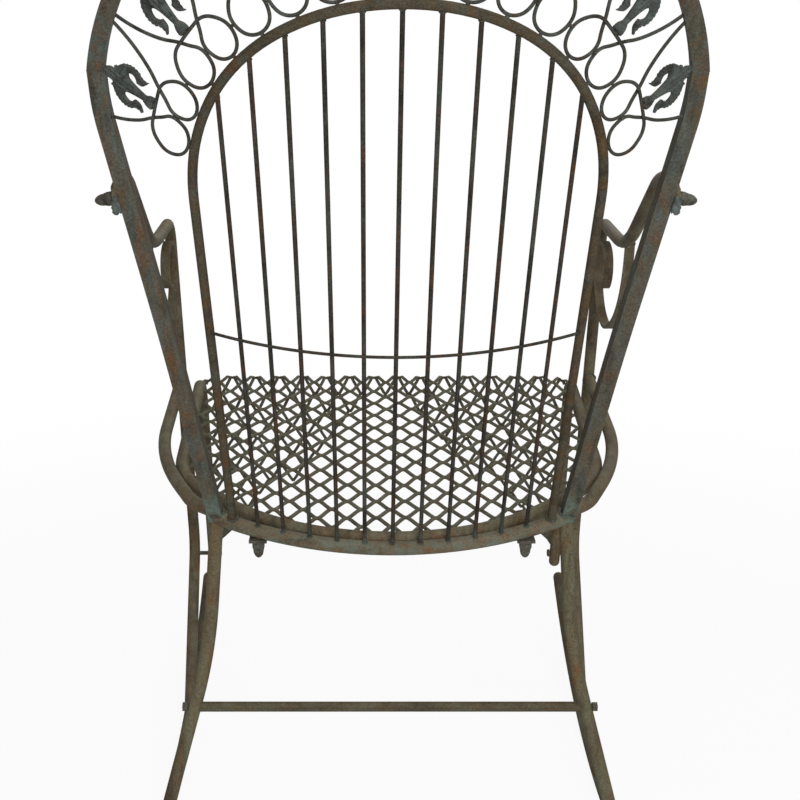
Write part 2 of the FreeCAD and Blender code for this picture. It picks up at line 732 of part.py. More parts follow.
def right_scroll():
    """Flat bar that falls from under the arm, rises beside the post and curls back on itself."""
    front = POST_FORWARD - (TUBE + SCROLL_BAR_THICK) / 2.0 - CLEARANCE
    top = ARM_DIP_HEIGHT + TUBE / 2.0
    curl_up = ARM_DIP_HEIGHT - TUBE / 2.0 - SCROLL_CURL_DROP - SCROLL_CURL
    points = []
    for turn in (180.0, 210.0, 240.0, 270.0):
        y = SCROLL_LOW_FORWARD + (SCROLL_LOW_FORWARD - SCROLL_REAR_FORWARD) * cos(radians(turn))
        points.append(on_scroll(y, top + (top - SCROLL_LOW_HEIGHT) * sin(radians(turn))))
    for turn in (315.0, 360.0):
        y = SCROLL_LOW_FORWARD + (front - SCROLL_LOW_FORWARD) * cos(radians(turn))
        points.append(on_scroll(y, curl_up + (curl_up - SCROLL_LOW_HEIGHT) * sin(radians(turn))))
    for turn in (90.0, 180.0, 275.0):
        y = front - SCROLL_CURL_REACH + SCROLL_CURL_REACH * cos(radians(turn))
        points.append(on_scroll(y, curl_up + SCROLL_CURL * sin(radians(turn))))
    bar = flat_bar(smooth_edges(points), SCROLL_BAR_WIDTH, SCROLL_BAR_THICK, SIDEWAYS)
    return coped(bar, tube_seat(arm_edges()))


# Stretcher and fasteners

def shank(start, end, slack=0.0):
    """Bolt's plain rod between two points, or the hole for it."""
    return Part.makeCylinder(BOLT / 2.0 + slack, (end - start).Length, start, unit(end - start))


def round_head(seat, outward):
    """Low round bolt head that rests on a seat."""
    head = Part.makeCylinder(BOLT_HEAD / 2.0, BOLT_HEAD_THICK, seat, outward)
    rim = max(head.Edges, key=lambda edge: (edge.CenterOfMass - seat).dot(outward))
    return head.makeFillet(BOLT_HEAD_THICK / 2.0, [rim])


def hexagon(seat, outward, thick):
    """Plain six-sided nut body."""
    corners = []
    for i in range(7):
        angle = i * pi / 3.0
        corners.append(V(cos(angle), sin(angle), 0) * (NUT_FLATS / sqrt(3.0)))
    prism = Part.Face(Part.makePolygon(corners)).extrude(UP * thick)
    prism.Placement = FreeCAD.Placement(seat, FreeCAD.Rotation(UP, outward))
    return prism


def acorn_nut(seat, outward):
    """Domed nut on its washer, resting on a seat."""
    washer = Part.makeCylinder(WASHER / 2.0, WASHER_THICK, seat, outward)
    base = seat + outward * WASHER_THICK
    radius = NUT_FLATS / 2.0 - CLEARANCE
    crown = base + outward * (ACORN_HEIGHT - radius)
    barrel = Part.makeCylinder(radius, (crown - base).Length, base, outward)
    parts = [hexagon(base, outward, NUT_BASE), barrel, dome(crown, outward, 2.0 * radius)]
    return washer.fuse(parts).removeSplitter()


def arm_stud_ends():
    """Middle of the stile, and the outer face of the arm's tab."""
    middle = arm_bolt_point()
    return middle, middle + stile_outward() * (FRAME_SQUARE / 2.0 + CLEARANCE + ARM_TAB_THICK)


def back_stud_ends():
    """Middle of the bottom rail, and under the lug."""
    middle = on_back(BARREL_RADIUS * asin(BACK_STUD_REACH / BARREL_RADIUS), 0.0)
    return middle, middle - UP * (TUBE / 2.0 + CLEARANCE + LUG_THICK)


def hook_bolt_ends():
    """Inside face of the hook, and the middle of the front leg."""
    inside = V(HOOK_REACH - TUBE / 2.0, SEAT_FRONT_FORWARD, HOOK_BOLT_HEIGHT)
    return inside, V(KNEE_REACH, SEAT_FRONT_FORWARD, HOOK_BOLT_HEIGHT)


def stud(start, nut_seat):
    """Threaded rod that passes its nut's seat by half the nut."""
    return shank(start, nut_seat + unit(nut_seat - start) * (WASHER_THICK + NUT_BASE))


def right_lug(bolt_hole, rail, rim):
    """Plate welded under the seat rim that reaches under the back's bottom rail."""
    _, under = back_stud_ends()
    rear = under.y - LUG_WIDTH / 2.0
    slope = (SEAT_SIDE_CORNER_FORWARD - REAR_RIM_FORWARD) / (SEAT_SIDE_CORNER_REACH - SEAT_REAR_CORNER_REACH)
    rim_forward = REAR_RIM_FORWARD + slope * (BACK_STUD_REACH - SEAT_REAR_CORNER_REACH)
    length = rim_forward + TUBE / 2.0 - rear
    plate = Part.makeBox(LUG_WIDTH, length, LUG_THICK, V(BACK_STUD_REACH - LUG_WIDTH / 2.0, rear, under.z))
    return coped(plate, bolt_hole, rail, rim)


def stretcher_bar(legs):
    """Round bar between the rear legs, with a thread through each leg."""
    reach = rear_leg_reach(STRETCHER_HEIGHT)
    left = V(-reach, REAR_LEG_FORWARD, STRETCHER_HEIGHT)
    right = V(reach, REAR_LEG_FORWARD, STRETCHER_HEIGHT)
    bar = coped(Part.makeCylinder(STRETCHER / 2.0, 2.0 * reach, left, SIDEWAYS), *legs)
    past = SIDEWAYS * (TUBE / 2.0 + NUT_BASE + CLEARANCE * 4.0)
    return bar.fuse(shank(left - past, right + past)).removeSplitter()


# Whole chair

def chair():
    pieces = {}
    rail = bottom_rail()
    arch = inner_arch(rail)
    top = top_arch()
    stile = right_stile(rail)
    rim = seat_rim()
    rocker = right_rocker()
    arm = right_arm()
    leg = right_rear_leg()
    bow = right_bow()
    scroll = right_scroll()
    apron = right_apron(rim)

    arm_ends = arm_stud_ends()
    back_ends = back_stud_ends()
    hook_ends = hook_bolt_ends()
    arm_stud = stud(*arm_ends)
    back_stud = stud(*back_ends)
    hook_bolt = round_head(hook_ends[0], SIDEWAYS * -1.0).fuse(shank(*hook_ends)).removeSplitter()
    arm_nut = acorn_nut(arm_ends[1], stile_outward()).cut(arm_stud)
    back_nut = acorn_nut(back_ends[1], UP * -1.0).cut(back_stud)

    outward = stile_outward()
    arm_hole = shank(arm_ends[0], arm_ends[1] + outward * TUBE, CLEARANCE)
    back_hole = shank(back_ends[0], back_ends[1] - UP * TUBE, CLEARANCE)
    lug = right_lug(back_hole, rail, rim)
    hook_hole = shank(hook_ends[0] - SIDEWAYS * TUBE, hook_ends[1], CLEARANCE)
    both_hook_holes = [hook_hole, flipped(hook_hole)]
    stile = stile.cut(arm_hole)
    arm = arm.cut(arm_hole).cut(hook_hole)
    legs = [leg, flipped(leg)]
    bar = stretcher_bar(legs)
    stretcher_middle = V(0, REAR_LEG_FORWARD, STRETCHER_HEIGHT)
    thread = shank(stretcher_middle, stretcher_middle + SIDEWAYS * ROCKER_REACH)
    leg = leg.cut(thread)
    nut_reach = rear_leg_reach(STRETCHER_HEIGHT) + TUBE / 2.0 + 2.0 * CLEARANCE
    nut_seat = V(nut_reach, REAR_LEG_FORWARD, STRETCHER_HEIGHT)
    stretcher_nut = coped(hexagon(nut_seat, SIDEWAYS, NUT_BASE), thread, leg)

    frames = [top, stile, flipped(stile)]
    pieces["back_bottom_rail"] = rail.cut(back_hole).cut(flipped(back_hole))
    pieces["back_top_arch"] = top
    pieces["inner_arch"] = arch
    side_places = BACK_ROD_COUNT // 2
    for place in range(-side_places, side_places + 1):
        pieces["back_rod_%02d" % (place + side_places + 1)] = back_rod(place, arch, rail)
    pieces["lumbar_rod"] = lumbar_rod()
    for place in range(2 * LOOP_UNITS_PER_SIDE):
        pieces["loop_rod_%d" % (place + 1)] = loop_rod(place, *frames)
        pieces["lily_%d" % (place + 1)] = lily(place, *frames)
    pieces["seat_rim"] = rim.cut(both_hook_holes[0]).cut(both_hook_holes[1])
    pieces["seat_mesh"] = seat_mesh(rim)
    pieces["rear_stretcher"] = bar
    sides = {
        "stile": stile, "arm": arm, "arm_scroll": scroll, "side_bow": bow,
        "rear_leg": leg, "rocker": rocker, "apron": apron,
    }
    for name, shape in sides.items():
        pieces["right_" + name] = shape
        pieces["left_" + name] = flipped(shape)
    pairs = {
        "arm_studs": arm_stud, "arm_acorn_nuts": arm_nut, "back_studs": back_stud,
        "back_acorn_nuts": back_nut, "seat_lugs": lug, "seat_front_bolts": hook_bolt,
        "stretcher_nuts": stretcher_nut,
    }
    for name, shape in pairs.items():
        pieces[name] = Part.makeCompound([shape, flipped(shape)])
    return pieces


def write_parts(pieces):
    """Moves the origin under the middle of the chair and writes one file per piece."""
    box = Part.makeCompound(list(pieces.values())).optimalBoundingBox(False)
    shift = V(0, -(box.YMin + box.YMax) / 2.0, 0)
    os.makedirs("parts", exist_ok=True)
    for name, shape in pieces.items():
        shape.translate(shift)
        shape.exportStep("parts/%s.step" % name)
    print("moved along Y by %.2f mm" % shift.y)


write_parts(chair())
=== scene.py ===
from math import acos, atan, cos, hypot, pi, radians, sin, sqrt, tan

import bpy
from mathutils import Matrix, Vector, kdtree, noise


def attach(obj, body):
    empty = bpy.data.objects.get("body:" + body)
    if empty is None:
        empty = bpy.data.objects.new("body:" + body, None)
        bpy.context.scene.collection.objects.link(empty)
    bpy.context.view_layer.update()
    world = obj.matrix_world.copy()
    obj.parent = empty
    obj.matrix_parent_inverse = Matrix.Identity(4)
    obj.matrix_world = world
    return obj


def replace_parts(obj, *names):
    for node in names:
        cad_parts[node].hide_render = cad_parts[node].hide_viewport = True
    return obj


# Iron rocking chair: its looks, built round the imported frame. Metres, in the frame's own axes.

# View of the photograph
EYE = Vector((-0.03315, -1.47465, 0.9757))
PITCH = radians(17.0)
LENS = 58.5
SHIFT_ACROSS = 0.047
SENSOR = 36.0

# Sizes of the frame that the dressed pieces follow
BODY = "root"
MM_PER_M = 1000.0
RAIL_FORWARD = -0.15084
TUBE = 0.016
ARCH_ROD = 0.0095
BACK_ROD = 0.0045
FRAME_SQUARE = 0.016
RAIL_HEIGHT = 0.400
RAIL_REACH = 0.211
VERDIGRIS_START = 0.165
VERDIGRIS_RISE = 0.030
RECLINE = radians(20.0)
BARREL_RADIUS = 0.415
ARCH_CENTRE_UP = 0.412
INNER_ARCH_RADIUS = 0.200
INNER_FOOT_REACH = 0.185
BACK_ROD_COUNT = 11
BACK_ROD_PITCH_FOOT = 0.0306
BACK_ROD_PITCH_TOP = 0.0332
STILE_FOOT_REACH = 0.207
REAR_LEG_FORWARD = 0.0643
REAR_LEG_TOP_REACH = 0.1995
REAR_LEG_BEND_REACH = 0.2145
REAR_LEG_BEND_HEIGHT = 0.240
FRONT_FOOT_FORWARD = 0.300
POST_FORWARD = 0.500
POST_BOW_REACH = 0.2967
KNEE_REACH = 0.287
KNEE_HEIGHT = 0.190
BOW_FRONT_HEIGHT = 0.45325
BOW_REAR_HEIGHT = 0.41687
BOW_BELLY_REACH = 0.289
BOW_BELLY_FORWARD = 0.217
BOW_BELLY_RISE = 0.013
BOW_TAIL_REACH = 0.2305
BOW_TAIL_FORWARD = 0.088
BOW_TAIL_RISE = 0.002
ROCKER_REACH = 0.276
ROCKER_RADIUS = 0.800
ROCKER_LOW_FORWARD = 0.1664
ROCKER_LOW_HEIGHT = 0.0076

# Weld beads, and the arm scrolls' ends that they cover
ROD_BEAD = 0.0011
ROD_HEAD_BEAD = 0.8
ROD_HEAD_STEEP = 0.5
SQUARE_WELD_REACH = 0.52
TUBE_WELD_OUT = 0.56
TUBE_WELD_TURNS = 22
FOOT_STEP = 0.05
LOOP_SMALL = 0.8
LOOP_LARGE = 1.2
COLLAR_LUMP = 0.55
COLLAR_LUMP_SCALE = 300.0
COLLAR_SPREAD = 0.3
SPOT_LUMP = 0.5
SPOT_LUMP_SCALE = 400.0
TUBE_BEAD = 0.0016
LOOP_BEAD = 0.0019
SCROLL_THICK = 0.0045
SCROLL_END = 0.004
SCROLL_WELD_REACH = 0.0042
SCROLL_BEAD = 0.0026

# Band of looped rods and cast lilies; the lily's own numbers are millimetres along it and aside
LOOP_UNITS = 8
LOOP_FIRST_AXIS = radians(19.0)
LOOP_STEP = (pi - 2.0 * LOOP_FIRST_AXIS) / (LOOP_UNITS - 1)
LOOP_TOP_RADIUS = 0.246
LOOP_END_SHARE = 0.95
LILY_FOOT_RADIUS = 0.25035
LILY_TIP_RADIUS = 0.3168
LILY_STEM_EDGE = [
    (0.0, 5.2), (2.5, 5.6), (7.0, 4.7), (11.5, 2.8), (23.0, 4.2), (30.3, 5.9), (34.4, 8.2), (35.4, 12.2),
    (29.4, 14.6), (24.8, 12.6), (22.8, 9.2)]
LILY_TAIL_EDGE = [LILY_STEM_EDGE[-1], (15.4, 10.4), (10.0, 17.2)]
LILY_OUTER_EDGE = [
    LILY_TAIL_EDGE[-1], (14.2, 15.0), (20.4, 15.9), (24.4, 18.9), (32.3, 20.2), (40.8, 17.9), (45.6, 14.7),
    (49.5, 10.7)]
LILY_NOTCH_EDGE = [LILY_OUTER_EDGE[-1], (52.5, 10.2)]
LILY_SPEAR_EDGE = [LILY_NOTCH_EDGE[-1], (50.9, 5.9), (58.3, 5.2), (66.4, 0.0)]
LILY_CURVES = [LILY_STEM_EDGE, LILY_TAIL_EDGE, LILY_OUTER_EDGE, LILY_NOTCH_EDGE, LILY_SPEAR_EDGE]
LILY_TIP = LILY_SPEAR_EDGE[-1][0]
LILY_LIFT_STEP = 0.01
LILY_WAVE = 0.0009
LILY_WAVE_PITCH = 0.0042
LILY_WAVE_FADE = 6.0
LILY_EDGE_SPLIT = 4
LILY_GRAIN = 0.0006
LILY_HALF_THICK = 0.0025
LILY_EDGE_HALF = 0.0012
LILY_CROWN_HALF = 0.0027
LILY_KNOB_HALF = 0.0042
LILY_SWELL = 0.0034
LILY_NECK_UP = 0.0105
LILY_BODY_HALF = 0.0072
LILY_RIB = 0.0009
LILY_RIB_PITCH = 0.0046
LILY_GROOVE = 0.0015
LILY_GROOVE_IN = 0.0021
LILY_GROOVE_WIDE = 0.0009

# Nuts and lugs at the arms and under the back; the lug's own numbers are millimetres outward and down
ARM_NUT_SEAT = Vector((0.27679, -0.19044, 0.79175))
ARM_NUT_AXIS = Vector((0.9815, 0.0655, -0.18))
BACK_NUT_SEAT = Vector((0.150, -0.12447, 0.3984))
BACK_NUT_AXIS = Vector((0.0, 0.0, -1.0))
NUT_SIDES = 36
NUT_CORNER = 1.11
NUT_PITTING = 0.00025
NUT_PITTING_SCALE = 350.0
NUT_DOME_HEIGHT = 0.0104
NUT_DOME_STEPS = 8
NUT_SECTIONS = [
    (0.0, ("round", 0.0072)), (0.0002, ("round", 0.0076)), (0.0016, ("round", 0.0076)),
    (0.0018, ("round", 0.0070)), (0.0019, ("round", 0.0056)), (0.0027, ("round", 0.0056)),
    (0.0028, ("six", 0.0064)), (0.0034, ("six", 0.0068)), (0.0078, ("six", 0.0068)),
    (0.0084, ("six", 0.0063)), (0.0085, ("round", 0.0054)), (0.0091, ("round", 0.0054)),
    (0.0092, ("round", 0.0064)), (0.0102, ("round", 0.0064)), (0.0106, ("round", 0.0060))]
NUT_DOME_START = NUT_SECTIONS[-1][0]
NUT_DOME = NUT_SECTIONS[-1][1][1]
LUG_EDGE = [
    (-5.0, -3.0), (-1.0, -2.0), (1.2, 0.5), (2.8, 3.0), (2.2, 5.5), (3.6, 8.0), (2.8, 10.5),
    (3.6, 13.0), (1.6, 15.6), (-1.5, 16.2), (-3.5, 14.5), (-5.5, 15.0), (-6.0, 6.0)]
LUG_STEPS = 5
LUG_LAYERS = ((8.6, 0.70), (9.0, 0.92), (10.2, 1.0), (11.4, 0.94), (12.2, 0.72), (12.0, 0.40))

# Seat of expanded metal, with its rolled front edge and the apron below it
SEAT_REAR_FORWARD = 0.01541
SEAT_REAR_HEIGHT = 0.405
SEAT_LEVEL_LENGTH = 0.47059
SEAT_SLOPE = 0.1
HOOK_TOP_REACH = 0.267
SEAT_REAR = Vector((0.0, RAIL_FORWARD + SEAT_REAR_FORWARD, SEAT_REAR_HEIGHT))
SEAT_LENGTH = SEAT_LEVEL_LENGTH * hypot(1.0, SEAT_SLOPE)
SEAT_CORNERS = ((HOOK_TOP_REACH, SEAT_LENGTH), (0.2578, 0.1433), (0.100, 0.0))
SEAT_BENDS = (0.150, 0.260)
FRONT_ROLL = 0.007
FRONT_CREST = 0.009
FRONT_CREST_RUN = 0.050
CREST_FADE = 0.024
HOOK_REACH = 0.257
HOOK_LOW = 0.192
APRON_APEX_DROP = 0.024
GUSSET_REACH = 0.196
GUSSET_RISE = 0.070
GUSSET_CELLS = 8
MESH_WIDE = 0.034
MESH_LONG = 0.0425
STRAND_WIDE = 0.0045
STRAND_THICK = 0.0024
STRAND_CHAMFER = 0.0007
STRAND_TILT = radians(22.0)
BOND_LENGTH = 0.0050
BOND_OVERLAP = 0.26
STRAND_STEPS = 3
SHEET_LAP = 0.0008
CUT_EDGE_SLACK = 0.006
DIAMOND_LIFT = 0.30
SEAT_ROWS = range(-2, 24)
APRON_ROWS = range(-12, 0)
BORDER_HALVINGS = 9
MESH_WOBBLE = 0.0009
MESH_WOBBLE_SCALE = 21.0
MESH_SEED = 1

# Studio
FLOOR_RADIUS = 30.0
FLOOR_NEAR = 0.75
FLOOR_FAR = 1.9
FLOOR_WHITE = 0.92
FLOOR_GREY = (0.86, 0.86, 0.86, 1.0)
FLOOR_SEGMENTS = 96
WHITE = (1.0, 1.0, 1.0, 1.0)
LAMP_AIM = (0.0, 0.0, 0.6)
SKY_LEVEL = 0.12
# Place, width and power of each lamp
LAMPS = {
    "top_softbox": ((0.2, -0.2, 3.2), 2.6, 26.0),
    "rear_softbox": ((0.3, -3.3, 1.7), 1.8, 86.0),
    "side_softbox": ((3.0, -0.6, 1.6), 2.0, 9.0),
    "front_softbox": ((0.6, 3.3, 1.9), 1.8, 30.0),
}


def srgb(red, green, blue):
    """Colour as a screen shows it, 0 to 255, in the renderer's linear numbers."""
    linear = []
    for value in (red, green, blue):
        share = value / 255.0
        linear.append(share / 12.92 if share <= 0.04045 else ((share + 0.055) / 1.055) ** 2.4)
    return (*linear, 1.0)


# Helpers for shader nodes

def put(tree, kind, values=None, **settings):
    """A new node, with its settings, and its sockets linked or set."""
    made = tree.nodes.new(kind)
    for name, value in settings.items():
        setattr(made, name, value)
    for socket, value in (values or {}).items():
        if isinstance(value, bpy.types.NodeSocket):
            tree.links.new(value, made.inputs[socket])
        else:
            made.inputs[socket].default_value = value
    return made


MIX_FACTOR, MIX_A, MIX_B, MIX_OUT = 0, 6, 7, 2


def mixed(tree, factor, first, second, way="MIX"):
    values = {MIX_FACTOR: factor, MIX_A: first, MIX_B: second}
    return put(tree, "ShaderNodeMix", values, data_type="RGBA", blend_type=way).outputs[MIX_OUT]


def sums(tree, way, first, second):
    return put(tree, "ShaderNodeMath", {0: first, 1: second}, operation=way).outputs[0]


def ramp(tree, value, low, high, start=0.0, end=1.0):
    values = {"Value": value, "From Min": low, "From Max": high, "To Min": start, "To Max": end}
    return put(tree, "ShaderNodeMapRange", values, interpolation_type="SMOOTHSTEP").outputs[0]


def cloud(tree, place, scale, detail, rough, twist=0.0):
    values = {"Vector": place, "Scale": scale, "Detail": detail, "Roughness": rough, "Distortion": twist}
    return put(tree, "ShaderNodeTexNoise", values).outputs["Fac"]


def new_group(name, inputs, outputs):
    tree = bpy.data.node_groups.new(name, "ShaderNodeTree")
    for socket, kind, value in inputs:
        tree.interface.new_socket(socket, in_out="INPUT", socket_type=kind).default_value = value
    for socket, kind in outputs:
        tree.interface.new_socket(socket, in_out="OUTPUT", socket_type=kind)
    return tree, tree.nodes.new("NodeGroupInput"), tree.nodes.new("NodeGroupOutput")


COLOUR, NUMBER, PLACE = "NodeSocketColor", "NodeSocketFloat", "NodeSocketVector"

# Clouds that break up each cover: how fine, how detailed, how rough and how twisted
STAIN_CLOUD = (31.0, 5.0, 0.62, 0.4)
BLOOM_CLOUD = (23.0, 6.0, 0.62, 0.7)
RUST_CLOUD = (38.0, 7.0, 0.62, 0.9)
FINE_CLOUD = (420.0, 3.0, 0.7)
GRAIN_CLOUD = (1500.0, 2.0, 0.6)
EDGE_CLOUD = (70.0, 5.0, 0.65)
DUST_CLOUD = (55.0, 6.0, 0.65)
GREEN_CLOUD = (90.0, 5.0, 0.65, 0.6)

# Ends of the soft steps between bare and covered, and the weights of rust and grain
SHARE_NONE = 0.80
SHARE_SPAN = 0.55
SHARE_STEP = (-0.13, 0.15)
EDGE_REACH = 0.0012
EDGE_SAMPLES = 4
SPECKLE_FROM = (0.72, 1.28)
SPECKLE_TO = (0.66, 1.36)
RUST_ROUGH = 0.18
FINE_ROUGH = 0.25
LEAST_ROUGH = 0.45
RUST_HEIGHT = 0.5
BUMP_DEPTH = 0.0006
EDGE_TURN = (0.995, 0.86)
EDGE_BREAKS = (0.36, 0.58)
DUST_UP = (0.15, 0.95)
DUST_BREAKS = (0.30, 0.72)
GREEN_BREAKS = (0.40, 0.62)
GREEN_AT_FEET = 0.6


def worn_share(tree, place, share, kind):
    """Mask that covers about the given share of a surface with soft-edged patches."""
    edge = sums(tree, "SUBTRACT", SHARE_NONE, sums(tree, "MULTIPLY", share, SHARE_SPAN))
    patches = cloud(tree, place, *kind)
    return ramp(tree, sums(tree, "SUBTRACT", patches, edge), *SHARE_STEP)


def weathered_iron_group():
    """Old iron: dark stains, grey-green bloom and rust over a ground colour, drawn out along the bar."""
    tree, given, result = new_group(
        "weathered_iron",
        [
            ("Ground", COLOUR, srgb(84, 78, 67)), ("Stain", COLOUR, srgb(48, 45, 43)),
            ("Bloom", COLOUR, srgb(84, 94, 88)), ("Rust", COLOUR, srgb(112, 70, 42)),
            ("Stain Share", NUMBER, 0.4), ("Bloom Share", NUMBER, 0.35), ("Rust Share", NUMBER, 0.35),
            ("Drawn", PLACE, (1.0, 1.0, 1.0)),
        ],
        [("Color", COLOUR), ("Roughness", NUMBER), ("Height", NUMBER)])
    place = put(tree, "ShaderNodeTexCoord").outputs["Object"]
    spread = {0: place, 1: given.outputs["Drawn"]}
    drawn = put(tree, "ShaderNodeVectorMath", spread, operation="MULTIPLY").outputs[0]
    stain = worn_share(tree, drawn, given.outputs["Stain Share"], STAIN_CLOUD)
    bloom = worn_share(tree, drawn, given.outputs["Bloom Share"], BLOOM_CLOUD)
    rust = worn_share(tree, drawn, given.outputs["Rust Share"], RUST_CLOUD)
    fine = cloud(tree, place, *FINE_CLOUD)
    grain = cloud(tree, place, *GRAIN_CLOUD)
    colour = mixed(tree, stain, given.outputs["Ground"], given.outputs["Stain"])
    colour = mixed(tree, bloom, colour, given.outputs["Bloom"])
    colour = mixed(tree, rust, colour, given.outputs["Rust"])
    speckle = ramp(tree, sums(tree, "ADD", fine, grain), *SPECKLE_FROM, *SPECKLE_TO)
    grey = put(tree, "ShaderNodeCombineColor", {0: speckle, 1: speckle, 2: speckle}).outputs[0]
    tree.links.new(mixed(tree, 1.0, colour, grey, "MULTIPLY"), result.inputs["Color"])
    rusty = sums(tree, "MULTIPLY", rust, RUST_ROUGH)
    rough = sums(tree, "ADD", rusty, sums(tree, "MULTIPLY", fine, FINE_ROUGH))
    tree.links.new(sums(tree, "ADD", rough, LEAST_ROUGH), result.inputs["Roughness"])
    scab = sums(tree, "MULTIPLY", rust, RUST_HEIGHT)
    tree.links.new(sums(tree, "ADD", sums(tree, "ADD", fine, scab), grain), result.inputs["Height"])
    return tree


def rubbed_and_highlit_edge_group():
    """Mask of sharp outer edges, broken up as wear is; the pale colour laid on it is partly rubbed wear and
    partly a painted highlight.
    """
    tree, given, result = new_group("rubbed_and_highlit_edge", [("Reach", NUMBER, EDGE_REACH)], [("Mask", NUMBER)])
    rounded = put(tree, "ShaderNodeBevel", {"Radius": given.outputs["Reach"]}, samples=EDGE_SAMPLES)
    true_normal = put(tree, "ShaderNodeNewGeometry").outputs["Normal"]
    normals = {0: rounded.outputs[0], 1: true_normal}
    turned = put(tree, "ShaderNodeVectorMath", normals, operation="DOT_PRODUCT")
    edge = ramp(tree, turned.outputs["Value"], *EDGE_TURN)
    place = put(tree, "ShaderNodeTexCoord").outputs["Object"]
    broken = ramp(tree, cloud(tree, place, *EDGE_CLOUD), *EDGE_BREAKS)
    tree.links.new(sums(tree, "MULTIPLY", edge, broken), result.inputs["Mask"])
    return tree


def settled_dust_group():
    """Mask of faces that look up, where pale dust lies unevenly."""
    tree, given, result = new_group("settled_dust", [("Share", NUMBER, 0.5)], [("Mask", NUMBER)])
    normal = put(tree, "ShaderNodeNewGeometry").outputs["Normal"]
    up = put(tree, "ShaderNodeSeparateXYZ", {0: normal}).outputs["Z"]
    place = put(tree, "ShaderNodeTexCoord").outputs["Object"]
    uneven = ramp(tree, cloud(tree, place, *DUST_CLOUD), *DUST_BREAKS)
    lying = sums(tree, "MULTIPLY", ramp(tree, up, *DUST_UP), uneven)
    tree.links.new(sums(tree, "MULTIPLY", lying, given.outputs["Share"]), result.inputs["Mask"])
    return tree


def joint_verdigris_group():
    """Mask of the green that gathers at the ends of the back's bottom rail and round the rods' feet."""
    tree, given, result = new_group("joint_verdigris", [("Share", NUMBER, 0.5)], [("Mask", NUMBER)])
    place = put(tree, "ShaderNodeTexCoord").outputs["Object"]
    split = put(tree, "ShaderNodeSeparateXYZ", {0: place})
    aside = sums(tree, "ABSOLUTE", split.outputs["X"], 0.0)
    end = ramp(tree, aside, VERDIGRIS_START, RAIL_REACH)
    height = ramp(tree, split.outputs["Z"], RAIL_HEIGHT + VERDIGRIS_RISE, RAIL_HEIGHT)
    broken = ramp(tree, cloud(tree, place, *GREEN_CLOUD), *GREEN_BREAKS)
    near = sums(tree, "MAXIMUM", end, sums(tree, "MULTIPLY", height, GREEN_AT_FEET))
    low = ramp(tree, split.outputs["Z"], RAIL_HEIGHT + 2.0 * VERDIGRIS_RISE, RAIL_HEIGHT + VERDIGRIS_RISE)
    mask = sums(tree, "MULTIPLY", sums(tree, "MULTIPLY", near, broken), low)
    tree.links.new(sums(tree, "MULTIPLY", mask, given.outputs["Share"]), result.inputs["Mask"])
    return tree


GLOSS = 0.02
IRON = weathered_iron_group()
EDGE = rubbed_and_highlit_edge_group()
DUST = settled_dust_group()
VERDIGRIS = joint_verdigris_group()
DUST_COLOUR = srgb(138, 131, 112)
# Pale colour of sharp edges: partly rubbed wear, partly a painted highlight along the edges.
RUBBED_AND_HIGHLIT_COLOUR = srgb(110, 110, 98)
VERDIGRIS_COLOUR = srgb(98, 120, 110)


def covered(tree, colour, group, share, cover):
    """The colour under a cover that a group's mask lays on."""
    laid = put(tree, "ShaderNodeGroup", node_tree=group)
    laid.inputs["Share"].default_value = share
    return mixed(tree, laid.outputs["Mask"], colour, cover)


def iron_finish(name, ground, stain, bloom, rust, shares, drawn, dust=0.3, rubbed_and_highlit=0.0, bump=0.3, green=0.0):
    """One finish of old iron; shares are those of stain, bloom and rust, drawn is how fine it is each way."""
    material = bpy.data.materials.new(name)
    material.use_nodes = True
    tree = material.node_tree
    shader = tree.nodes["Principled BSDF"]
    shader.inputs["Specular IOR Level"].default_value = GLOSS
    iron = put(tree, "ShaderNodeGroup", node_tree=IRON)
    for socket, colour in (("Ground", ground), ("Stain", stain), ("Bloom", bloom), ("Rust", rust)):
        iron.inputs[socket].default_value = srgb(*colour)
    for socket, share in zip(("Stain Share", "Bloom Share", "Rust Share"), shares):
        iron.inputs[socket].default_value = share
    iron.inputs["Drawn"].default_value = drawn
    colour = iron.outputs["Color"]
    # Paler sharp edges: partly rubbed wear, partly a painted highlight.
    if rubbed_and_highlit:
        edge = put(tree, "ShaderNodeGroup", node_tree=EDGE)
        colour = mixed(tree, sums(tree, "MULTIPLY", edge.outputs["Mask"], rubbed_and_highlit), colour, RUBBED_AND_HIGHLIT_COLOUR)
    if green:
        colour = covered(tree, colour, VERDIGRIS, green, VERDIGRIS_COLOUR)
    colour = covered(tree, colour, DUST, dust, DUST_COLOUR)
    tree.links.new(colour, shader.inputs["Base Color"])
    tree.links.new(iron.outputs["Roughness"], shader.inputs["Roughness"])
    relief = {"Height": iron.outputs["Height"], "Strength": bump, "Distance": BUMP_DEPTH}
    raised = put(tree, "ShaderNodeBump", relief)
    tree.links.new(raised.outputs[0], shader.inputs["Normal"])
    return material


# Finishes

UPRIGHT = (2.0, 2.0, 0.45)
FORE_AND_AFT = (1.8, 0.5, 0.8)
CROSSWISE = (0.5, 1.8, 1.8)
ANY_WAY = (1.2, 1.2, 1.2)
FINE = (2.4, 2.4, 2.4)
ROD_WISE = (2.0, 2.0, 0.16)


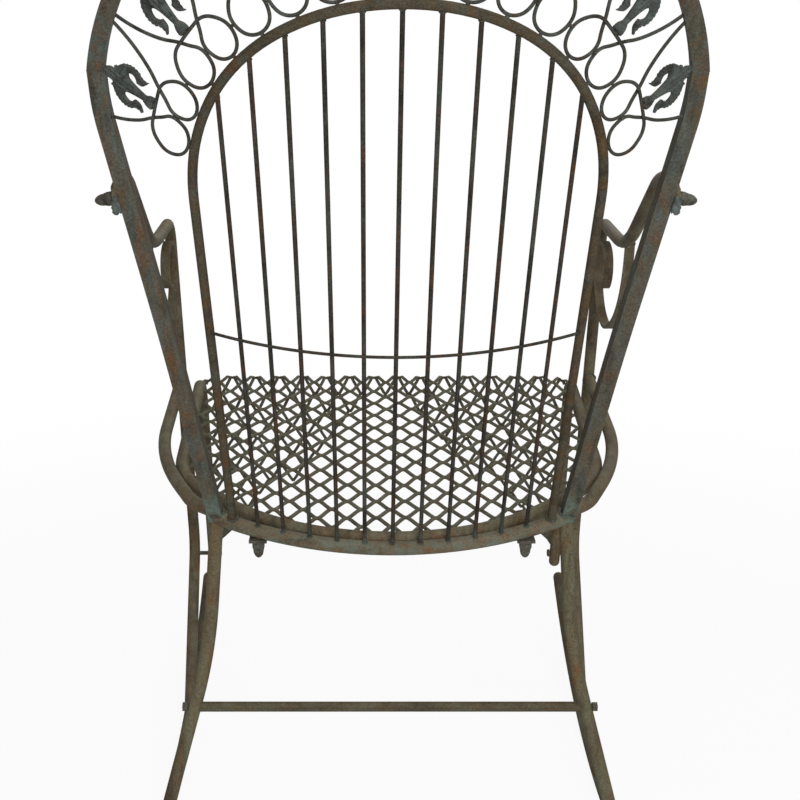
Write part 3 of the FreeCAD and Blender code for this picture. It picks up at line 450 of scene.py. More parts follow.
def finishes():
    return {
        "round_tube": iron_finish(
            "round_tube_iron", (93, 86, 70), (64, 60, 50), (107, 103, 82), (102, 80, 57),
            (0.44, 0.46, 0.40), FORE_AND_AFT),
        "leg_tube": iron_finish(
            "leg_tube_iron", (98, 89, 70), (72, 66, 53), (105, 105, 84), (110, 79, 50),
            (0.40, 0.47, 0.36), UPRIGHT),
        "rail_tube": iron_finish(
            "rail_tube_iron", (98, 88, 72), (72, 64, 52), (112, 108, 92), (106, 80, 58),
            (0.42, 0.40, 0.40), CROSSWISE, green=0.75),
        "stretcher_bar": iron_finish(
            "stretcher_bar_iron", (84, 77, 62), (68, 62, 50), (92, 90, 72), (94, 76, 54),
            (0.36, 0.38, 0.38), CROSSWISE),
        # The stiles' pale arrises are partly rubbed wear, partly a painted highlight.
        "square_tube": iron_finish(
            "square_tube_iron", (83, 79, 68), (58, 56, 50), (80, 88, 83), (94, 71, 50),
            (0.44, 0.48, 0.40), UPRIGHT, rubbed_and_highlit=0.45, green=0.7),
        "arch_bar": iron_finish(
            "arch_bar_iron", (74, 68, 56), (54, 50, 43), (78, 80, 70), (86, 66, 46),
            (0.42, 0.38, 0.42), ANY_WAY, green=0.6),
        "thin_rod": iron_finish(
            "thin_rod_iron", (57, 53, 48), (40, 38, 35), (68, 73, 67), (82, 58, 40),
            (0.46, 0.42, 0.36), ROD_WISE, dust=0.12, green=0.8),
        "loop_wire": iron_finish(
            "loop_wire_iron", (66, 65, 60), (44, 44, 41), (74, 80, 75), (76, 58, 46),
            (0.44, 0.44, 0.32), FINE, dust=0.18),
        "cast_lily": iron_finish(
            "cast_lily_iron", (71, 73, 70), (43, 45, 44), (85, 92, 88), (84, 66, 54),
            (0.44, 0.48, 0.22), FINE, dust=0.22, rubbed_and_highlit=0.30, bump=0.5),
        "net": iron_finish(
            "expanded_metal_iron", (85, 83, 68), (61, 59, 49), (92, 95, 82), (96, 76, 54),
            (0.36, 0.42, 0.32), FINE),
        # The nuts' pale edges are partly rubbed wear, partly a painted highlight.
        "bolt": iron_finish(
            "bolt_iron", (80, 78, 70), (50, 49, 44), (92, 96, 88), (98, 78, 63),
            (0.42, 0.42, 0.30), FINE, rubbed_and_highlit=0.55, bump=0.45),
        "lug": iron_finish(
            "lug_iron", (80, 85, 82), (52, 54, 52), (96, 104, 101), (88, 70, 54),
            (0.38, 0.44, 0.22), FINE, dust=0.2, rubbed_and_highlit=0.4, bump=0.5),
        "weld": iron_finish(
            "weld_iron", (72, 68, 58), (52, 49, 43), (78, 86, 79), (88, 66, 48),
            (0.42, 0.46, 0.34), FINE, dust=0.2, bump=0.5, green=0.6),
    }


FINISH_OF_NODE = {
    "stile": "square_tube", "top_arch": "square_tube", "inner_arch": "arch_bar",
    "back_rod": "thin_rod", "lumbar_rod": "thin_rod", "loop_rod": "loop_wire", "lily": "cast_lily",
    "seat_mesh": "net", "apron": "net",
    "rear_leg": "leg_tube", "bottom_rail": "rail_tube", "stretcher": "stretcher_bar",
    "bolts": "bolt", "nuts": "bolt", "studs": "bolt", "lugs": "bolt",
}


def finish_frame(nodes, finish):
    """Gives every piece of the frame its finish."""
    for name, piece in nodes.items():
        chosen = "round_tube"
        for part, kind in FINISH_OF_NODE.items():
            if part in name:
                chosen = kind
        piece.data.materials.clear()
        piece.data.materials.append(finish[chosen])


# Helpers for meshes and lines

def piece_of(name, verts, faces, material):
    """A new piece that rides on the chair."""
    mesh = bpy.data.meshes.new(name)
    mesh.from_pydata([tuple(v) for v in verts], [], faces)
    mesh.materials.append(material)
    mesh.shade_smooth()
    piece = bpy.data.objects.new(name, mesh)
    bpy.context.scene.collection.objects.link(piece)
    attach(piece, BODY)
    return piece


def skin_rings(verts, faces, rings):
    """Closes a run of equal rings into a capped bar."""
    count = len(rings[0])
    first = len(verts)
    for ring in rings:
        verts.extend(ring)
    for i in range(len(rings) - 1):
        for j in range(count):
            a = first + i * count + j
            b = first + i * count + (j + 1) % count
            faces.append((a, b, b + count, a + count))
    faces.append(tuple(first + j for j in reversed(range(count))))
    faces.append(tuple(first + (len(rings) - 1) * count + j for j in range(count)))


def eased_line(points, steps=8):
    """Smooth flat line through points, without its last one."""
    line = []
    padded = [points[0]] + points + [points[-1]]
    for before, start, end, after in zip(padded, padded[1:], padded[2:], padded[3:]):
        for i in range(steps):
            t = i / steps
            spot = start * (2.0 - 5.0 * t * t + 3.0 * t ** 3) + end * (t + 4.0 * t * t - 3.0 * t ** 3)
            spot += before * (-t + 2.0 * t * t - t ** 3) + after * (t ** 3 - t * t)
            line.append(spot / 2.0)
    return line


# Expanded metal

SEAT_TILT = atan(SEAT_SLOPE)
SEAT_ALONG = Vector((0.0, cos(SEAT_TILT), sin(SEAT_TILT)))
SEAT_FACING = Vector((0.0, -sin(SEAT_TILT), cos(SEAT_TILT)))
ROLL_TURN = pi / 2.0 + SEAT_TILT
ROLL_START = SEAT_LENGTH - FRONT_ROLL * tan(ROLL_TURN / 2.0)
ROLL_END = ROLL_START + FRONT_ROLL * ROLL_TURN


def on_sheet(x, run):
    """Point, heading and outer side of the sheet; run counts from the rear rim, over the roll and down."""
    angle = max(0.0, min(ROLL_TURN, (run - ROLL_START) / FRONT_ROLL))
    heading = SEAT_ALONG * cos(angle) - SEAT_FACING * sin(angle)
    outer = SEAT_FACING * cos(angle) + SEAT_ALONG * sin(angle)
    point = SEAT_REAR + SEAT_ALONG * min(run, ROLL_START) + Vector((x, 0.0, 0.0))
    point += (outer - SEAT_FACING) * FRONT_ROLL + heading * max(0.0, run - ROLL_END)
    rise = max(0.0, 1.0 - abs(run - SEAT_LENGTH) / FRONT_CREST_RUN)
    crest = FRONT_CREST * max(0.0, min(1.0, (HOOK_TOP_REACH - abs(x)) / CREST_FADE))
    return point + SEAT_FACING * (crest * rise * rise * (3.0 - 2.0 * rise)), heading, outer


def bent_line(corners, bends, steps=10):
    """Flat points along straight runs, each inner corner rounded to its radius."""
    points = [Vector(corners[0])]
    for before, corner, after, bend in zip(corners, corners[1:], corners[2:], bends):
        corner = Vector(corner)
        arriving = (corner - Vector(before)).normalized()
        leaving = (Vector(after) - corner).normalized()
        turn = acos(arriving.dot(leaving))
        inward = (leaving - arriving).normalized()
        centre = corner + inward * (bend / cos(turn / 2.0))
        for i in range(steps + 1):
            angle = turn * (i / steps - 0.5)
            side = (arriving + leaving).normalized() * sin(angle) - inward * cos(angle)
            points.append(centre + side * bend)
    points.append(Vector(corners[-1]))
    return points


def seat_outline():
    """The rim's centre line in the sheet, all the way round."""
    corners = list(SEAT_CORNERS) + [(-x, y) for x, y in reversed(SEAT_CORNERS)]
    return bent_line(corners, SEAT_BENDS + SEAT_BENDS[::-1])


OUTLINE = seat_outline()


def inside_seat(x, run):
    """Whether a place on the sheet lies within the rim, up to the end of the front roll."""
    if run > SEAT_LENGTH:
        return abs(x) < HOOK_TOP_REACH and run < ROLL_END + SHEET_LAP
    inside = False
    for a, b in zip(OUTLINE, OUTLINE[1:] + OUTLINE[:1]):
        if (a.y > run) != (b.y > run) and x < a.x + (b.x - a.x) * (run - a.y) / (b.y - a.y):
            inside = not inside
    return inside


def apron_low(x):
    """Height of the apron's slanting lower edge."""
    apex = on_sheet(0.0, SEAT_LENGTH)[0].z - APRON_APEX_DROP
    return apex + (HOOK_LOW - apex) * abs(x) / HOOK_REACH


def above_cut_edge(x, run):
    """Whether the whole diamond over a place lies above the apron's lower edge, give or take the slack."""
    aside = 2.0 * x / MESH_WIDE
    down = 2.0 * (run - SEAT_LENGTH) / MESH_LONG - DIAMOND_LIFT
    first = 2 * round((down + aside) / 2.0)
    second = 2 * round((down - aside) / 2.0)
    middle_x = (first - second) / 2.0 * MESH_WIDE / 2.0
    middle_run = SEAT_LENGTH + (first + second) / 2.0 * MESH_LONG / 2.0
    corners = (
        (middle_x, middle_run + MESH_LONG / 2.0), (middle_x - MESH_WIDE / 2.0, middle_run),
        (middle_x + MESH_WIDE / 2.0, middle_run))
    return all(on_sheet(*corner)[0].z > apron_low(corner[0]) - CUT_EDGE_SLACK for corner in corners)


def inside_apron(side):
    """Test for one half of the apron: between the middle, the hook and the slanting lower edge."""
    def test(x, run):
        if run < ROLL_END - SHEET_LAP or x * side < 0.0:
            return False
        height = on_sheet(x, run)[0].z
        top = on_sheet(0.0, ROLL_END)[0].z
        reach = HOOK_TOP_REACH + (HOOK_REACH - HOOK_TOP_REACH) * (top - height) / (top - HOOK_LOW)
        return abs(x) < reach and above_cut_edge(x, run)
    return test


def corner_sheet(verts, faces, side):
    """Plain three-cornered sheet between the apron's mesh and its hook."""
    forward = on_sheet(0.0, ROLL_END)[0].y
    inner = Vector((side * GUSSET_REACH, forward, apron_low(GUSSET_REACH)))
    low = Vector((side * HOOK_REACH, forward, HOOK_LOW))
    high = Vector((side * HOOK_REACH, forward, HOOK_LOW + GUSSET_RISE))
    thick = Vector((0.0, STRAND_THICK / 2.0, 0.0))
    count = GUSSET_CELLS
    place = {}
    for layer in (1.0, -1.0):
        for i in range(count + 1):
            for j in range(count + 1 - i):
                spot = inner + (low - inner) * (i / count) + (high - inner) * (j / count)
                ripple = noise.noise(spot * MESH_WOBBLE_SCALE) * MESH_WOBBLE
                place[layer, i, j] = len(verts)
                verts.append(spot + thick * layer + Vector((0.0, ripple, 0.0)))
    for i in range(count):
        for j in range(count - i):
            for layer in (1.0, -1.0):
                corners = [place[layer, i, j], place[layer, i + 1, j], place[layer, i, j + 1]]
                faces.append(corners if layer * side < 0.0 else corners[::-1])
                if i + j < count - 1:
                    corners = [place[layer, i + 1, j], place[layer, i + 1, j + 1], place[layer, i, j + 1]]
                    faces.append(corners if layer * side < 0.0 else corners[::-1])
    border = [(i, 0) for i in range(count)] + [(count - i, i) for i in range(count)]
    border += [(0, count - i) for i in range(count)]
    for a, b in zip(border, border[1:] + border[:1]):
        corners = [place[1.0, *a], place[1.0, *b], place[-1.0, *b], place[-1.0, *a]]
        faces.append(corners if side > 0.0 else corners[::-1])


def strand_line(row):
    """Zigzag centre line of one row of strands, as places on the sheet; rows count back from the front."""
    front = SEAT_LENGTH - row * MESH_LONG / 2.0 - STRAND_WIDE * BOND_OVERLAP
    rear = SEAT_LENGTH - (row + 1) * MESH_LONG / 2.0 + STRAND_WIDE * BOND_OVERLAP
    half_steps = int(2.0 * HOOK_TOP_REACH / MESH_WIDE) + 2
    places = []
    for step in range(-half_steps, half_steps + 1):
        side = 1.0 if (step + row) % 2 else -1.0
        for end in (-0.5, 0.5):
            x = step * MESH_WIDE / 2.0 + end * BOND_LENGTH
            places.append((x, (front + rear) / 2.0 + side * (front - rear) / 2.0))
    return places


def border_place(inside, kept, lost):
    """Place between a kept and a lost one where the sheet ends."""
    for _ in range(BORDER_HALVINGS):
        middle = ((kept[0] + lost[0]) / 2.0, (kept[1] + lost[1]) / 2.0)
        if inside(*middle):
            kept = middle
        else:
            lost = middle
    return kept


def at_border(inside, kept, lost):
    """The strand's last stretch up to the border; at the apron's cut edge it stops at its last bond."""
    cut_edge = lost[1] > ROLL_END and not above_cut_edge(*lost)
    return [] if cut_edge else [border_place(inside, kept, lost)]


def kept_runs(places, inside):
    """The stretches of a line that lie inside."""
    runs = []
    run = []
    for before, place in zip([None] + places, places):
        now = inside(*place)
        was = before is not None and inside(*before)
        if now and not was and before is not None:
            run = at_border(inside, place, before)
        if now:
            run.append(place)
        if was and not now:
            runs.append(run + at_border(inside, before, place))
            run = []
    return [run for run in runs + [run] if len(run) > 1]


def strand_rings(places):
    """Sections of one strand, flat stock that leans forward in the sheet."""
    spots = []
    line = [Vector(place) for place in places]
    for x, run in eased_line(line, STRAND_STEPS) + line[-1:]:
        point, heading, outer = on_sheet(x, run)
        wobble = noise.noise_vector(Vector((x, run, 0.0)) * MESH_WOBBLE_SCALE) * MESH_WOBBLE
        spots.append((point + wobble, heading, outer))
    wide = STRAND_WIDE / 2.0
    thick = STRAND_THICK / 2.0
    cut = STRAND_CHAMFER
    section = (
        (wide - cut, thick), (cut - wide, thick), (-wide, thick - cut), (-wide, cut - thick),
        (cut - wide, -thick), (wide - cut, -thick), (wide, cut - thick), (wide, thick - cut))
    rings = []
    for i, (point, heading, outer) in enumerate(spots):
        ahead = spots[min(i + 1, len(spots) - 1)][0] - spots[max(i - 1, 0)][0]
        ahead.normalize()
        level = outer.cross(ahead).normalized()
        level = level if level.dot(heading) > 0.0 else -level
        raised = (outer - ahead * outer.dot(ahead)).normalized()
        across = level * cos(STRAND_TILT) + raised * sin(STRAND_TILT)
        upward = ahead.cross(across)
        rings.append([point + across * a + upward * b for a, b in section])
    return rings


def expanded_metal(inside, rows):
    """Corners and faces of all strands that lie inside."""
    verts, faces = [], []
    for row in rows:
        for run in kept_runs(strand_line(row), inside):
            skin_rings(verts, faces, strand_rings(run))
    return verts, faces


def dress_seat(material):
    """Seat and apron; the seed makes the strands' wobble the same in each run."""
    noise.seed_set(MESH_SEED)
    verts, faces = expanded_metal(inside_seat, SEAT_ROWS)
    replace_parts(piece_of("expanded_metal_seat", verts, faces, material), "seat_mesh")
    for name, side in (("right", 1.0), ("left", -1.0)):
        verts, faces = expanded_metal(inside_apron(side), APRON_ROWS)
        corner_sheet(verts, faces, side)
        piece = piece_of("expanded_metal_apron_" + name, verts, faces, material)
        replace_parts(piece, name + "_apron")


# Places on the barrel back

def on_back(u, v, lift=0.0):
    """Point at arc length u round the barrel and height v up it, lifted towards the sitter."""
    angle = u / BARREL_RADIUS
    radius = BARREL_RADIUS - lift
    depth = BARREL_RADIUS - radius * cos(angle)
    y = RAIL_FORWARD + depth * cos(RECLINE) - v * sin(RECLINE)
    z = RAIL_HEIGHT + v * cos(RECLINE) + depth * sin(RECLINE)
    return Vector((radius * sin(angle), y, z))


def round_arch(radius, angle, lift=0.0):
    """Point on the back by its distance and angle from the arches' centre."""
    return on_back(radius * cos(angle), ARCH_CENTRE_UP + radius * sin(angle), lift)


def loop_axis(place):
    """Angle of one loop unit's own axis, counted from the lowest on the right."""
    return LOOP_FIRST_AXIS + place * LOOP_STEP


# Cast lilies

def scalloped(line):
    """The leaf's outer edge with its row of small waves."""
    waved = []
    way = 0.0
    total = sum((b - a).length for a, b in zip(line, line[1:]))
    for i, spot in enumerate(line):
        ahead = (line[min(i + 1, len(line) - 1)] - line[max(i - 1, 0)]).normalized()
        fade = min(1.0, LILY_WAVE_FADE * way / total, LILY_WAVE_FADE * (total - way) / total)
        out = Vector((ahead.y, -ahead.x)) * (LILY_WAVE * fade * abs(sin(pi * way / LILY_WAVE_PITCH)))
        waved.append(spot + out)
        way += (line[min(i + 1, len(line) - 1)] - spot).length
    return waved


def lily_outline():
    """The casting's edge, from its foot up the right side, over the spear's tip and down the left side."""
    right = []
    for curve in LILY_CURVES:
        line = eased_line([Vector((aside, along)) / MM_PER_M for along, aside in curve])
        right += scalloped(line) if curve == LILY_OUTER_EDGE else line
    tip = Vector((0.0, LILY_TIP / MM_PER_M))
    return right + [tip] + [Vector((-spot.x, spot.y)) for spot in reversed(right)]


def lily_blank(outline):
    """A plate of even thickness with a fine, regular skin, ready to be modelled."""
    curve = bpy.data.curves.new("lily_blank", "CURVE")
    curve.dimensions = "2D"
    curve.fill_mode = "BOTH"
    curve.extrude = LILY_HALF_THICK
    spline = curve.splines.new("POLY")
    spline.points.add(len(outline) - 1)
    for point, spot in zip(spline.points, outline):
        point.co = (spot.x, spot.y, 0.0, 1.0)
    spline.use_cyclic_u = True
    blank = bpy.data.objects.new("lily_blank", curve)
    plate = bpy.data.objects.new("lily_plate", bpy.data.meshes.new_from_object(blank))
    bpy.context.scene.collection.objects.link(plate)
    skin = plate.modifiers.new("skin", "REMESH")
    skin.mode = "VOXEL"
    skin.voxel_size = LILY_GRAIN
    skinned = plate.evaluated_get(bpy.context.evaluated_depsgraph_get())
    mesh = bpy.data.meshes.new_from_object(skinned)
    bpy.data.objects.remove(plate)
    bpy.data.objects.remove(blank)
    return mesh


def lily_relief(spot, edge):
    """Half thickness of the casting at a place, by its distance from the edge."""
    swell = min(1.0, edge / LILY_SWELL)
    crown = LILY_KNOB_HALF if spot.y < LILY_NECK_UP else LILY_CROWN_HALF
    height = LILY_EDGE_HALF + (crown - LILY_EDGE_HALF) * sqrt(1.0 - (1.0 - swell) ** 2)
    if spot.y > LILY_NECK_UP and abs(spot.x) < LILY_BODY_HALF:
        height += LILY_RIB * cos(2.0 * pi * spot.x / LILY_RIB_PITCH) * swell
    elif spot.y > LILY_NECK_UP:
        height -= LILY_GROOVE * max(0.0, 1.0 - abs(edge - LILY_GROOVE_IN) / LILY_GROOVE_WIDE)
    return height


def lily_casting():
    """Corners and faces of one modelled lily, lying flat with its foot at the origin."""
    outline = lily_outline()
    fine_edge = []
    for a, b in zip(outline, outline[1:] + outline[:1]):
        fine_edge += [a + (b - a) * (i / LILY_EDGE_SPLIT) for i in range(LILY_EDGE_SPLIT)]
    tree = kdtree.KDTree(len(fine_edge))
    for i, spot in enumerate(fine_edge):
        tree.insert((spot.x, spot.y, 0.0), i)
    tree.balance()
    mesh = lily_blank(outline)
    verts = []
    for corner in mesh.vertices:
        edge = tree.find((corner.co.x, corner.co.y, 0.0))[2]
        share = max(-1.0, min(1.0, corner.co.z / LILY_HALF_THICK))
        verts.append(Vector((corner.co.x, corner.co.y, share * lily_relief(corner.co, edge))))
    return verts, [tuple(face.vertices) for face in mesh.polygons]


def cast_lilies(material):
    verts, faces = lily_casting()
    for place in range(LOOP_UNITS):
        axis = loop_axis(place)
        foot = round_arch(LILY_FOOT_RADIUS, axis)
        along = (round_arch(LILY_TIP_RADIUS, axis) - foot).normalized()
        lift = round_arch(LILY_FOOT_RADIUS, axis, LILY_LIFT_STEP) - foot
        facing = (lift - along * lift.dot(along)).normalized()
        across = along.cross(facing)
        stood = [foot + across * spot.x + along * spot.y + facing * spot.z for spot in verts]
        piece = piece_of("lily_casting_%d" % (place + 1), stood, faces, material)
        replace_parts(piece, "lily_%d" % (place + 1))


# Acorn nuts, and the leaf-shaped lugs beside those of the arms

def nut_radius(shape, angle):
    """Radius of a turned or six-sided section."""
    kind, radius = shape
    if kind == "round":
        return radius
    return min(radius / cos((angle + pi / 6.0) % (pi / 3.0) - pi / 6.0), radius * NUT_CORNER)


def acorn_nut(verts, faces, seat, axis):
    """Washer, six-sided body, ring and dome on one axis."""
    axis = axis.normalized()
    aside = axis.cross(Vector((0.0, 1.0, 0.0))).normalized()
    other = axis.cross(aside)
    sections = list(NUT_SECTIONS)
    for i in range(1, NUT_DOME_STEPS):
        turn = pi / 2.0 * i / NUT_DOME_STEPS
        sections.append((NUT_DOME_START + NUT_DOME_HEIGHT * sin(turn), ("round", NUT_DOME * cos(turn))))
    rings = []
    for height, shape in sections:
        ring = []
        for j in range(NUT_SIDES):
            angle = 2.0 * pi * j / NUT_SIDES
            out = aside * cos(angle) + other * sin(angle)
            spot = seat + axis * height + out * nut_radius(shape, angle)
            ring.append(spot + out * (NUT_PITTING * noise.noise(spot * NUT_PITTING_SCALE)))
        rings.append(ring)
    skin_rings(verts, faces, rings)


def leaf_lug(verts, faces, seat, outward, side):
    """Cast leaf on the rear edge of the arm's tab, which shows between stile and nut."""
    down = Vector((0.0, 0.0, -1.0))
    down = (down - outward * down.dot(outward)).normalized()
    rearward = outward.cross(down) * -side
    middle = Vector((sum(x for x, _ in LUG_EDGE), sum(y for _, y in LUG_EDGE))) / len(LUG_EDGE)
    line = eased_line([Vector(spot) for spot in LUG_EDGE + LUG_EDGE[:1]], LUG_STEPS)
    rings = []
    for depth, share in LUG_LAYERS:
        ring = []
        for spot in line:
            place = middle + (spot - middle) * share
            ring.append(seat + (outward * place.x + down * place.y + rearward * depth) / MM_PER_M)
        rings.append(ring if side < 0.0 else ring[::-1])
    skin_rings(verts, faces, rings)


def dress_nuts(material, lug_material):
    places = {"arm": (ARM_NUT_SEAT, ARM_NUT_AXIS), "back": (BACK_NUT_SEAT, BACK_NUT_AXIS)}
    for name, (seat, axis) in places.items():
        verts, faces = [], []
        lug_verts, lug_faces = [], []
        for side in (1.0, -1.0):
            spot = Vector((side * seat.x, seat.y, seat.z))
            outward = Vector((side * axis.x, axis.y, axis.z)).normalized()
            acorn_nut(verts, faces, spot, outward)
            if name == "arm":
                leaf_lug(lug_verts, lug_faces, spot, outward, side)
        piece = piece_of("acorn_nuts_" + name, verts, faces, material)
        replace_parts(piece, name + "_acorn_nuts")
        if lug_verts:
            piece_of("leaf_lugs_arm", lug_verts, lug_faces, lug_material)


# Weld beads

def weld_collar(verts, faces, centre, axis, radius, bead, turns=14, sides=6):
    """A lumpy ring of weld round a bar where it meets another."""
    axis = axis.normalized()
    aside = axis.orthogonal().normalized()
    other = axis.cross(aside)
    first = len(verts)
    for i in range(turns):
        angle = 2.0 * pi * i / turns
        out = aside * cos(angle) + other * sin(angle)
        lump = 1.0 + COLLAR_LUMP * noise.noise((centre + out * radius) * COLLAR_LUMP_SCALE)
        for j in range(sides):
            roll = 2.0 * pi * j / sides
            spot = centre + out * (radius + bead * COLLAR_SPREAD * lump + bead * lump * cos(roll))
            verts.append(spot + axis * (bead * lump * sin(roll)))
    for i in range(turns):
        for j in range(sides):
            a = first + i * sides + j
            b = first + i * sides + (j + 1) % sides
            c = first + ((i + 1) % turns) * sides + (j + 1) % sides
            d = first + ((i + 1) % turns) * sides + j
            faces.append((d, c, b, a))


def weld_spot(verts, faces, centre, size, rings=6, sides=10):
    """A small blob of weld, uneven all round."""
    layers = []
    for i in range(1, rings):
        rise = pi * i / rings
        ring = []
        for j in range(sides):
            turn = 2.0 * pi * j / sides
            out = Vector((sin(rise) * cos(turn), sin(rise) * sin(turn), cos(rise)))
            lump = 1.0 + SPOT_LUMP * noise.noise((centre + out * size) * SPOT_LUMP_SCALE)
            ring.append(centre + out * (size * lump))
        layers.append(ring[::-1])
    skin_rings(verts, faces, layers)


def back_welds(material):
    """Beads of the upright rods, of the inner arch's feet and of the stiles' feet."""
    verts, faces = [], []
    places = range(-(BACK_ROD_COUNT // 2), BACK_ROD_COUNT // 2 + 1)
    for place in places:
        head_out = place * BACK_ROD_PITCH_TOP
        head_up = ARCH_CENTRE_UP + sqrt(INNER_ARCH_RADIUS ** 2 - head_out ** 2)
        foot = on_back(place * BACK_ROD_PITCH_FOOT, 0.0)
        head = on_back(head_out, head_up)
        rise = (head - foot).normalized()
        outward = (head - on_back(0.0, ARCH_CENTRE_UP)).normalized()
        steep = max(abs(rise.dot(outward)), ROD_HEAD_STEEP)
        weld_collar(verts, faces, foot + rise * (TUBE / 2.0), rise, BACK_ROD / 2.0, ROD_BEAD)
        head_bead = ROD_BEAD * ROD_HEAD_BEAD * steep ** 2
        weld_collar(verts, faces, head - rise * (ARCH_ROD / 2.0 / steep), rise, BACK_ROD / 2.0, head_bead)
    for side in (1.0, -1.0):
        feet = ((INNER_FOOT_REACH, ARCH_ROD / 2.0), (STILE_FOOT_REACH, FRAME_SQUARE * SQUARE_WELD_REACH))
        for reach, radius in feet:
            foot = on_back(side * reach, 0.0)
            rise = (on_back(side * reach, FOOT_STEP) - foot).normalized()
            weld_collar(verts, faces, foot + rise * (TUBE / 2.0), rise, radius, TUBE_BEAD, TUBE_WELD_TURNS)
    return piece_of("weld_beads_back", verts, faces, material)


def loop_welds(material):
    """Spots where the looped rods touch the arches, each other and the lilies."""
    verts, faces = [], []
    half_unit = LOOP_STEP / 2.0
    inner = INNER_ARCH_RADIUS + ARCH_ROD / 2.0
    middle = (inner + LOOP_TOP_RADIUS) / 2.0
    for place in range(LOOP_UNITS):
        axis = loop_axis(place)
        for side in (1.0, -1.0):
            weld_spot(verts, faces, round_arch(inner, axis + side * half_unit / 2.0), LOOP_BEAD)
            end = round_arch(LILY_TIP_RADIUS, axis + side * half_unit * LOOP_END_SHARE)
            weld_spot(verts, faces, end, LOOP_BEAD)
        weld_spot(verts, faces, round_arch(middle, axis), LOOP_BEAD * LOOP_SMALL)
        weld_spot(verts, faces, round_arch(LILY_FOOT_RADIUS, axis), LOOP_BEAD * LOOP_LARGE)
        if place:
            weld_spot(verts, faces, round_arch(middle, axis - half_unit), LOOP_BEAD * LOOP_SMALL)
    return piece_of("weld_spots_loops", verts, faces, material)


def on_rocker(forward):
    """Point on the right rocker's centre line; forward counts from the back's bottom rail."""
    drop = sqrt(ROCKER_RADIUS ** 2 - (forward - ROCKER_LOW_FORWARD) ** 2)
    return Vector((ROCKER_REACH, RAIL_FORWARD + forward, ROCKER_LOW_HEIGHT + ROCKER_RADIUS - drop))


def side_welds(material):
    """Beads of the legs on the rockers, and of the side bows on the posts and the rear legs."""
    rear_foot = on_rocker(REAR_LEG_FORWARD)
    front_foot = on_rocker(FRONT_FOOT_FORWARD)
    bow_front = Vector((POST_BOW_REACH, RAIL_FORWARD + POST_FORWARD, BOW_FRONT_HEIGHT))
    bow_rear = Vector((REAR_LEG_TOP_REACH, RAIL_FORWARD + REAR_LEG_FORWARD, BOW_REAR_HEIGHT))
    belly = Vector((BOW_BELLY_REACH, RAIL_FORWARD + BOW_BELLY_FORWARD, BOW_REAR_HEIGHT + BOW_BELLY_RISE))
    tail = Vector((BOW_TAIL_REACH, RAIL_FORWARD + BOW_TAIL_FORWARD, BOW_REAR_HEIGHT + BOW_TAIL_RISE))
    joints = (
        (rear_foot, Vector((REAR_LEG_BEND_REACH, rear_foot.y, REAR_LEG_BEND_HEIGHT))),
        (front_foot, Vector((KNEE_REACH, RAIL_FORWARD + POST_FORWARD, KNEE_HEIGHT))),
        (bow_front, belly), (bow_rear, tail))
    verts, faces = [], []
    for side in (1.0, -1.0):
        for start, end in joints:
            start = Vector((side * start.x, start.y, start.z))
            end = Vector((side * end.x, end.y, end.z))
            axis = (end - start).normalized()
            foot = start + axis * (TUBE * TUBE_WELD_OUT)
            weld_collar(verts, faces, foot, axis, TUBE / 2.0, TUBE_BEAD, TUBE_WELD_TURNS)
    return piece_of("weld_beads_sides", verts, faces, material)


def scroll_welds(nodes, material):
    """Beads where the arm scrolls' upper ends meet the arms."""
    verts, faces = [], []
    for side in ("right", "left"):
        scroll = nodes[side + "_arm_scroll"]
        corners = [scroll.matrix_world @ corner.co for corner in scroll.data.vertices]
        top = max(corner.z for corner in corners)
        plane = (max(corner.x for corner in corners) + min(corner.x for corner in corners)) / 2.0
        forward = [corner.y for corner in corners if corner.z > top - SCROLL_END]
        middle = Vector((plane, sum(forward) / len(forward), top - SCROLL_END / 2.0))
        for across in (-1.0, 0.0, 1.0):
            for along in (-1.0, 1.0):
                out = Vector((across * SCROLL_WELD_REACH, along * SCROLL_THICK / 2.0, 0.0))
                weld_spot(verts, faces, middle + out, SCROLL_BEAD)
    return piece_of("weld_spots_scrolls", verts, faces, material)


# Studio and camera

def photo_camera():
    data = bpy.data.cameras.new("photo_camera")
    data.lens = LENS
    data.sensor_width = SENSOR
    data.shift_x = SHIFT_ACROSS
    camera = bpy.data.objects.new("photo_camera", data)
    camera.location = EYE
    camera.rotation_euler = (pi / 2.0 - PITCH, 0.0, 0.0)
    bpy.context.scene.collection.objects.link(camera)
    bpy.context.scene.camera = camera


def seen_directly(tree):
    """1 for rays of the camera, of gloss and through glass, which should meet plain white."""
    path = put(tree, "ShaderNodeLightPath")
    seen = sums(tree, "MAXIMUM", path.outputs["Is Camera Ray"], path.outputs["Is Glossy Ray"])
    return sums(tree, "MAXIMUM", seen, path.outputs["Is Transmission Ray"])


def white_surround():
    world = bpy.data.worlds.new("white_surround")
    bpy.context.scene.world = world
    world.use_nodes = True
    tree = world.node_tree
    tree.nodes.clear()
    lighting = put(tree, "ShaderNodeBackground", {"Color": WHITE, "Strength": SKY_LEVEL})
    white = put(tree, "ShaderNodeBackground", {"Color": WHITE, "Strength": 1.0})
    ways = {0: seen_directly(tree), 1: lighting.outputs[0], 2: white.outputs[0]}
    both = put(tree, "ShaderNodeMixShader", ways)
    put(tree, "ShaderNodeOutputWorld", {0: both.outputs[0]})


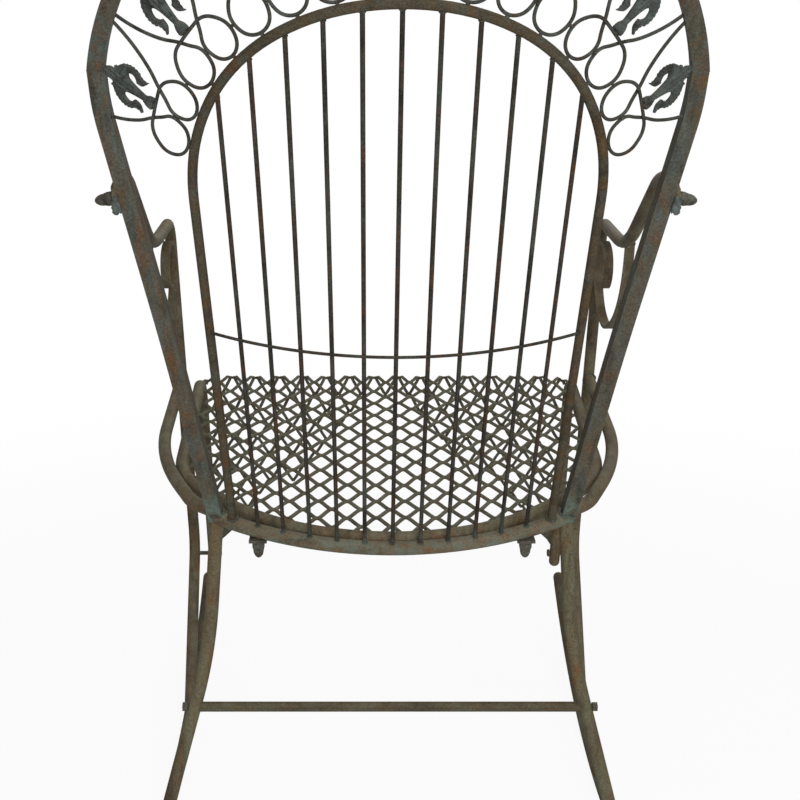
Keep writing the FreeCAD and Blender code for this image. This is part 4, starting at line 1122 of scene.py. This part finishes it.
def pale_floor():
    """Near-white floor that takes the chair's shadow and fades into the white surround."""
    verts = [(0.0, 0.0, 0.0)]
    for i in range(FLOOR_SEGMENTS):
        angle = 2.0 * pi * i / FLOOR_SEGMENTS
        verts.append((FLOOR_RADIUS * cos(angle), FLOOR_RADIUS * sin(angle), 0.0))
    faces = [(0, i + 1, (i + 1) % FLOOR_SEGMENTS + 1) for i in range(FLOOR_SEGMENTS)]
    mesh = bpy.data.meshes.new("pale_floor")
    mesh.from_pydata(verts, [], faces)
    material = bpy.data.materials.new("pale_floor")
    material.use_nodes = True
    tree = material.node_tree
    tree.nodes.clear()
    place = put(tree, "ShaderNodeTexCoord").outputs["Object"]
    distance = put(tree, "ShaderNodeVectorMath", {0: place}, operation="LENGTH").outputs["Value"]
    away = ramp(tree, distance, FLOOR_NEAR, FLOOR_FAR, FLOOR_WHITE, 1.0)
    matt = put(tree, "ShaderNodeBsdfDiffuse", {"Color": FLOOR_GREY})
    white = put(tree, "ShaderNodeEmission", {"Color": WHITE, "Strength": 1.0})
    share = sums(tree, "MULTIPLY", away, seen_directly(tree))
    both = put(tree, "ShaderNodeMixShader", {0: share, 1: matt.outputs[0], 2: white.outputs[0]})
    put(tree, "ShaderNodeOutputMaterial", {0: both.outputs[0]})
    mesh.materials.append(material)
    floor = bpy.data.objects.new("pale_floor", mesh)
    bpy.context.scene.collection.objects.link(floor)


def soft_lamp(name, place, size, power):
    data = bpy.data.lights.new(name, "AREA")
    data.shape = "DISK"
    data.size = size
    data.energy = power
    lamp = bpy.data.objects.new(name, data)
    lamp.location = place
    aim = Vector(LAMP_AIM) - Vector(place)
    lamp.rotation_euler = aim.to_track_quat("-Z", "Y").to_euler()
    bpy.context.scene.collection.objects.link(lamp)


def studio():
    white_surround()
    pale_floor()
    for name, (place, size, power) in LAMPS.items():
        soft_lamp(name, place, size, power)
    bpy.context.scene.view_settings.view_transform = "Standard"


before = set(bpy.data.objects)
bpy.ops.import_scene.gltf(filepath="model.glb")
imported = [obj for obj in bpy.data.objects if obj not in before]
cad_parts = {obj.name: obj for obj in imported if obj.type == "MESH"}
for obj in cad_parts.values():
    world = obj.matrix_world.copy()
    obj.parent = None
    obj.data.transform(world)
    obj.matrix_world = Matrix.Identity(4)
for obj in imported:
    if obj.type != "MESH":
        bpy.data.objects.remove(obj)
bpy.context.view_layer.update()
finish = finishes()
finish_frame(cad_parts, finish)
photo_camera()
studio()
dress_seat(finish["net"])
cast_lilies(finish["cast_lily"])
dress_nuts(finish["bolt"], finish["lug"])
back_welds(finish["weld"])
loop_welds(finish["weld"])
side_welds(finish["weld"])
scroll_welds(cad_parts, finish["weld"])
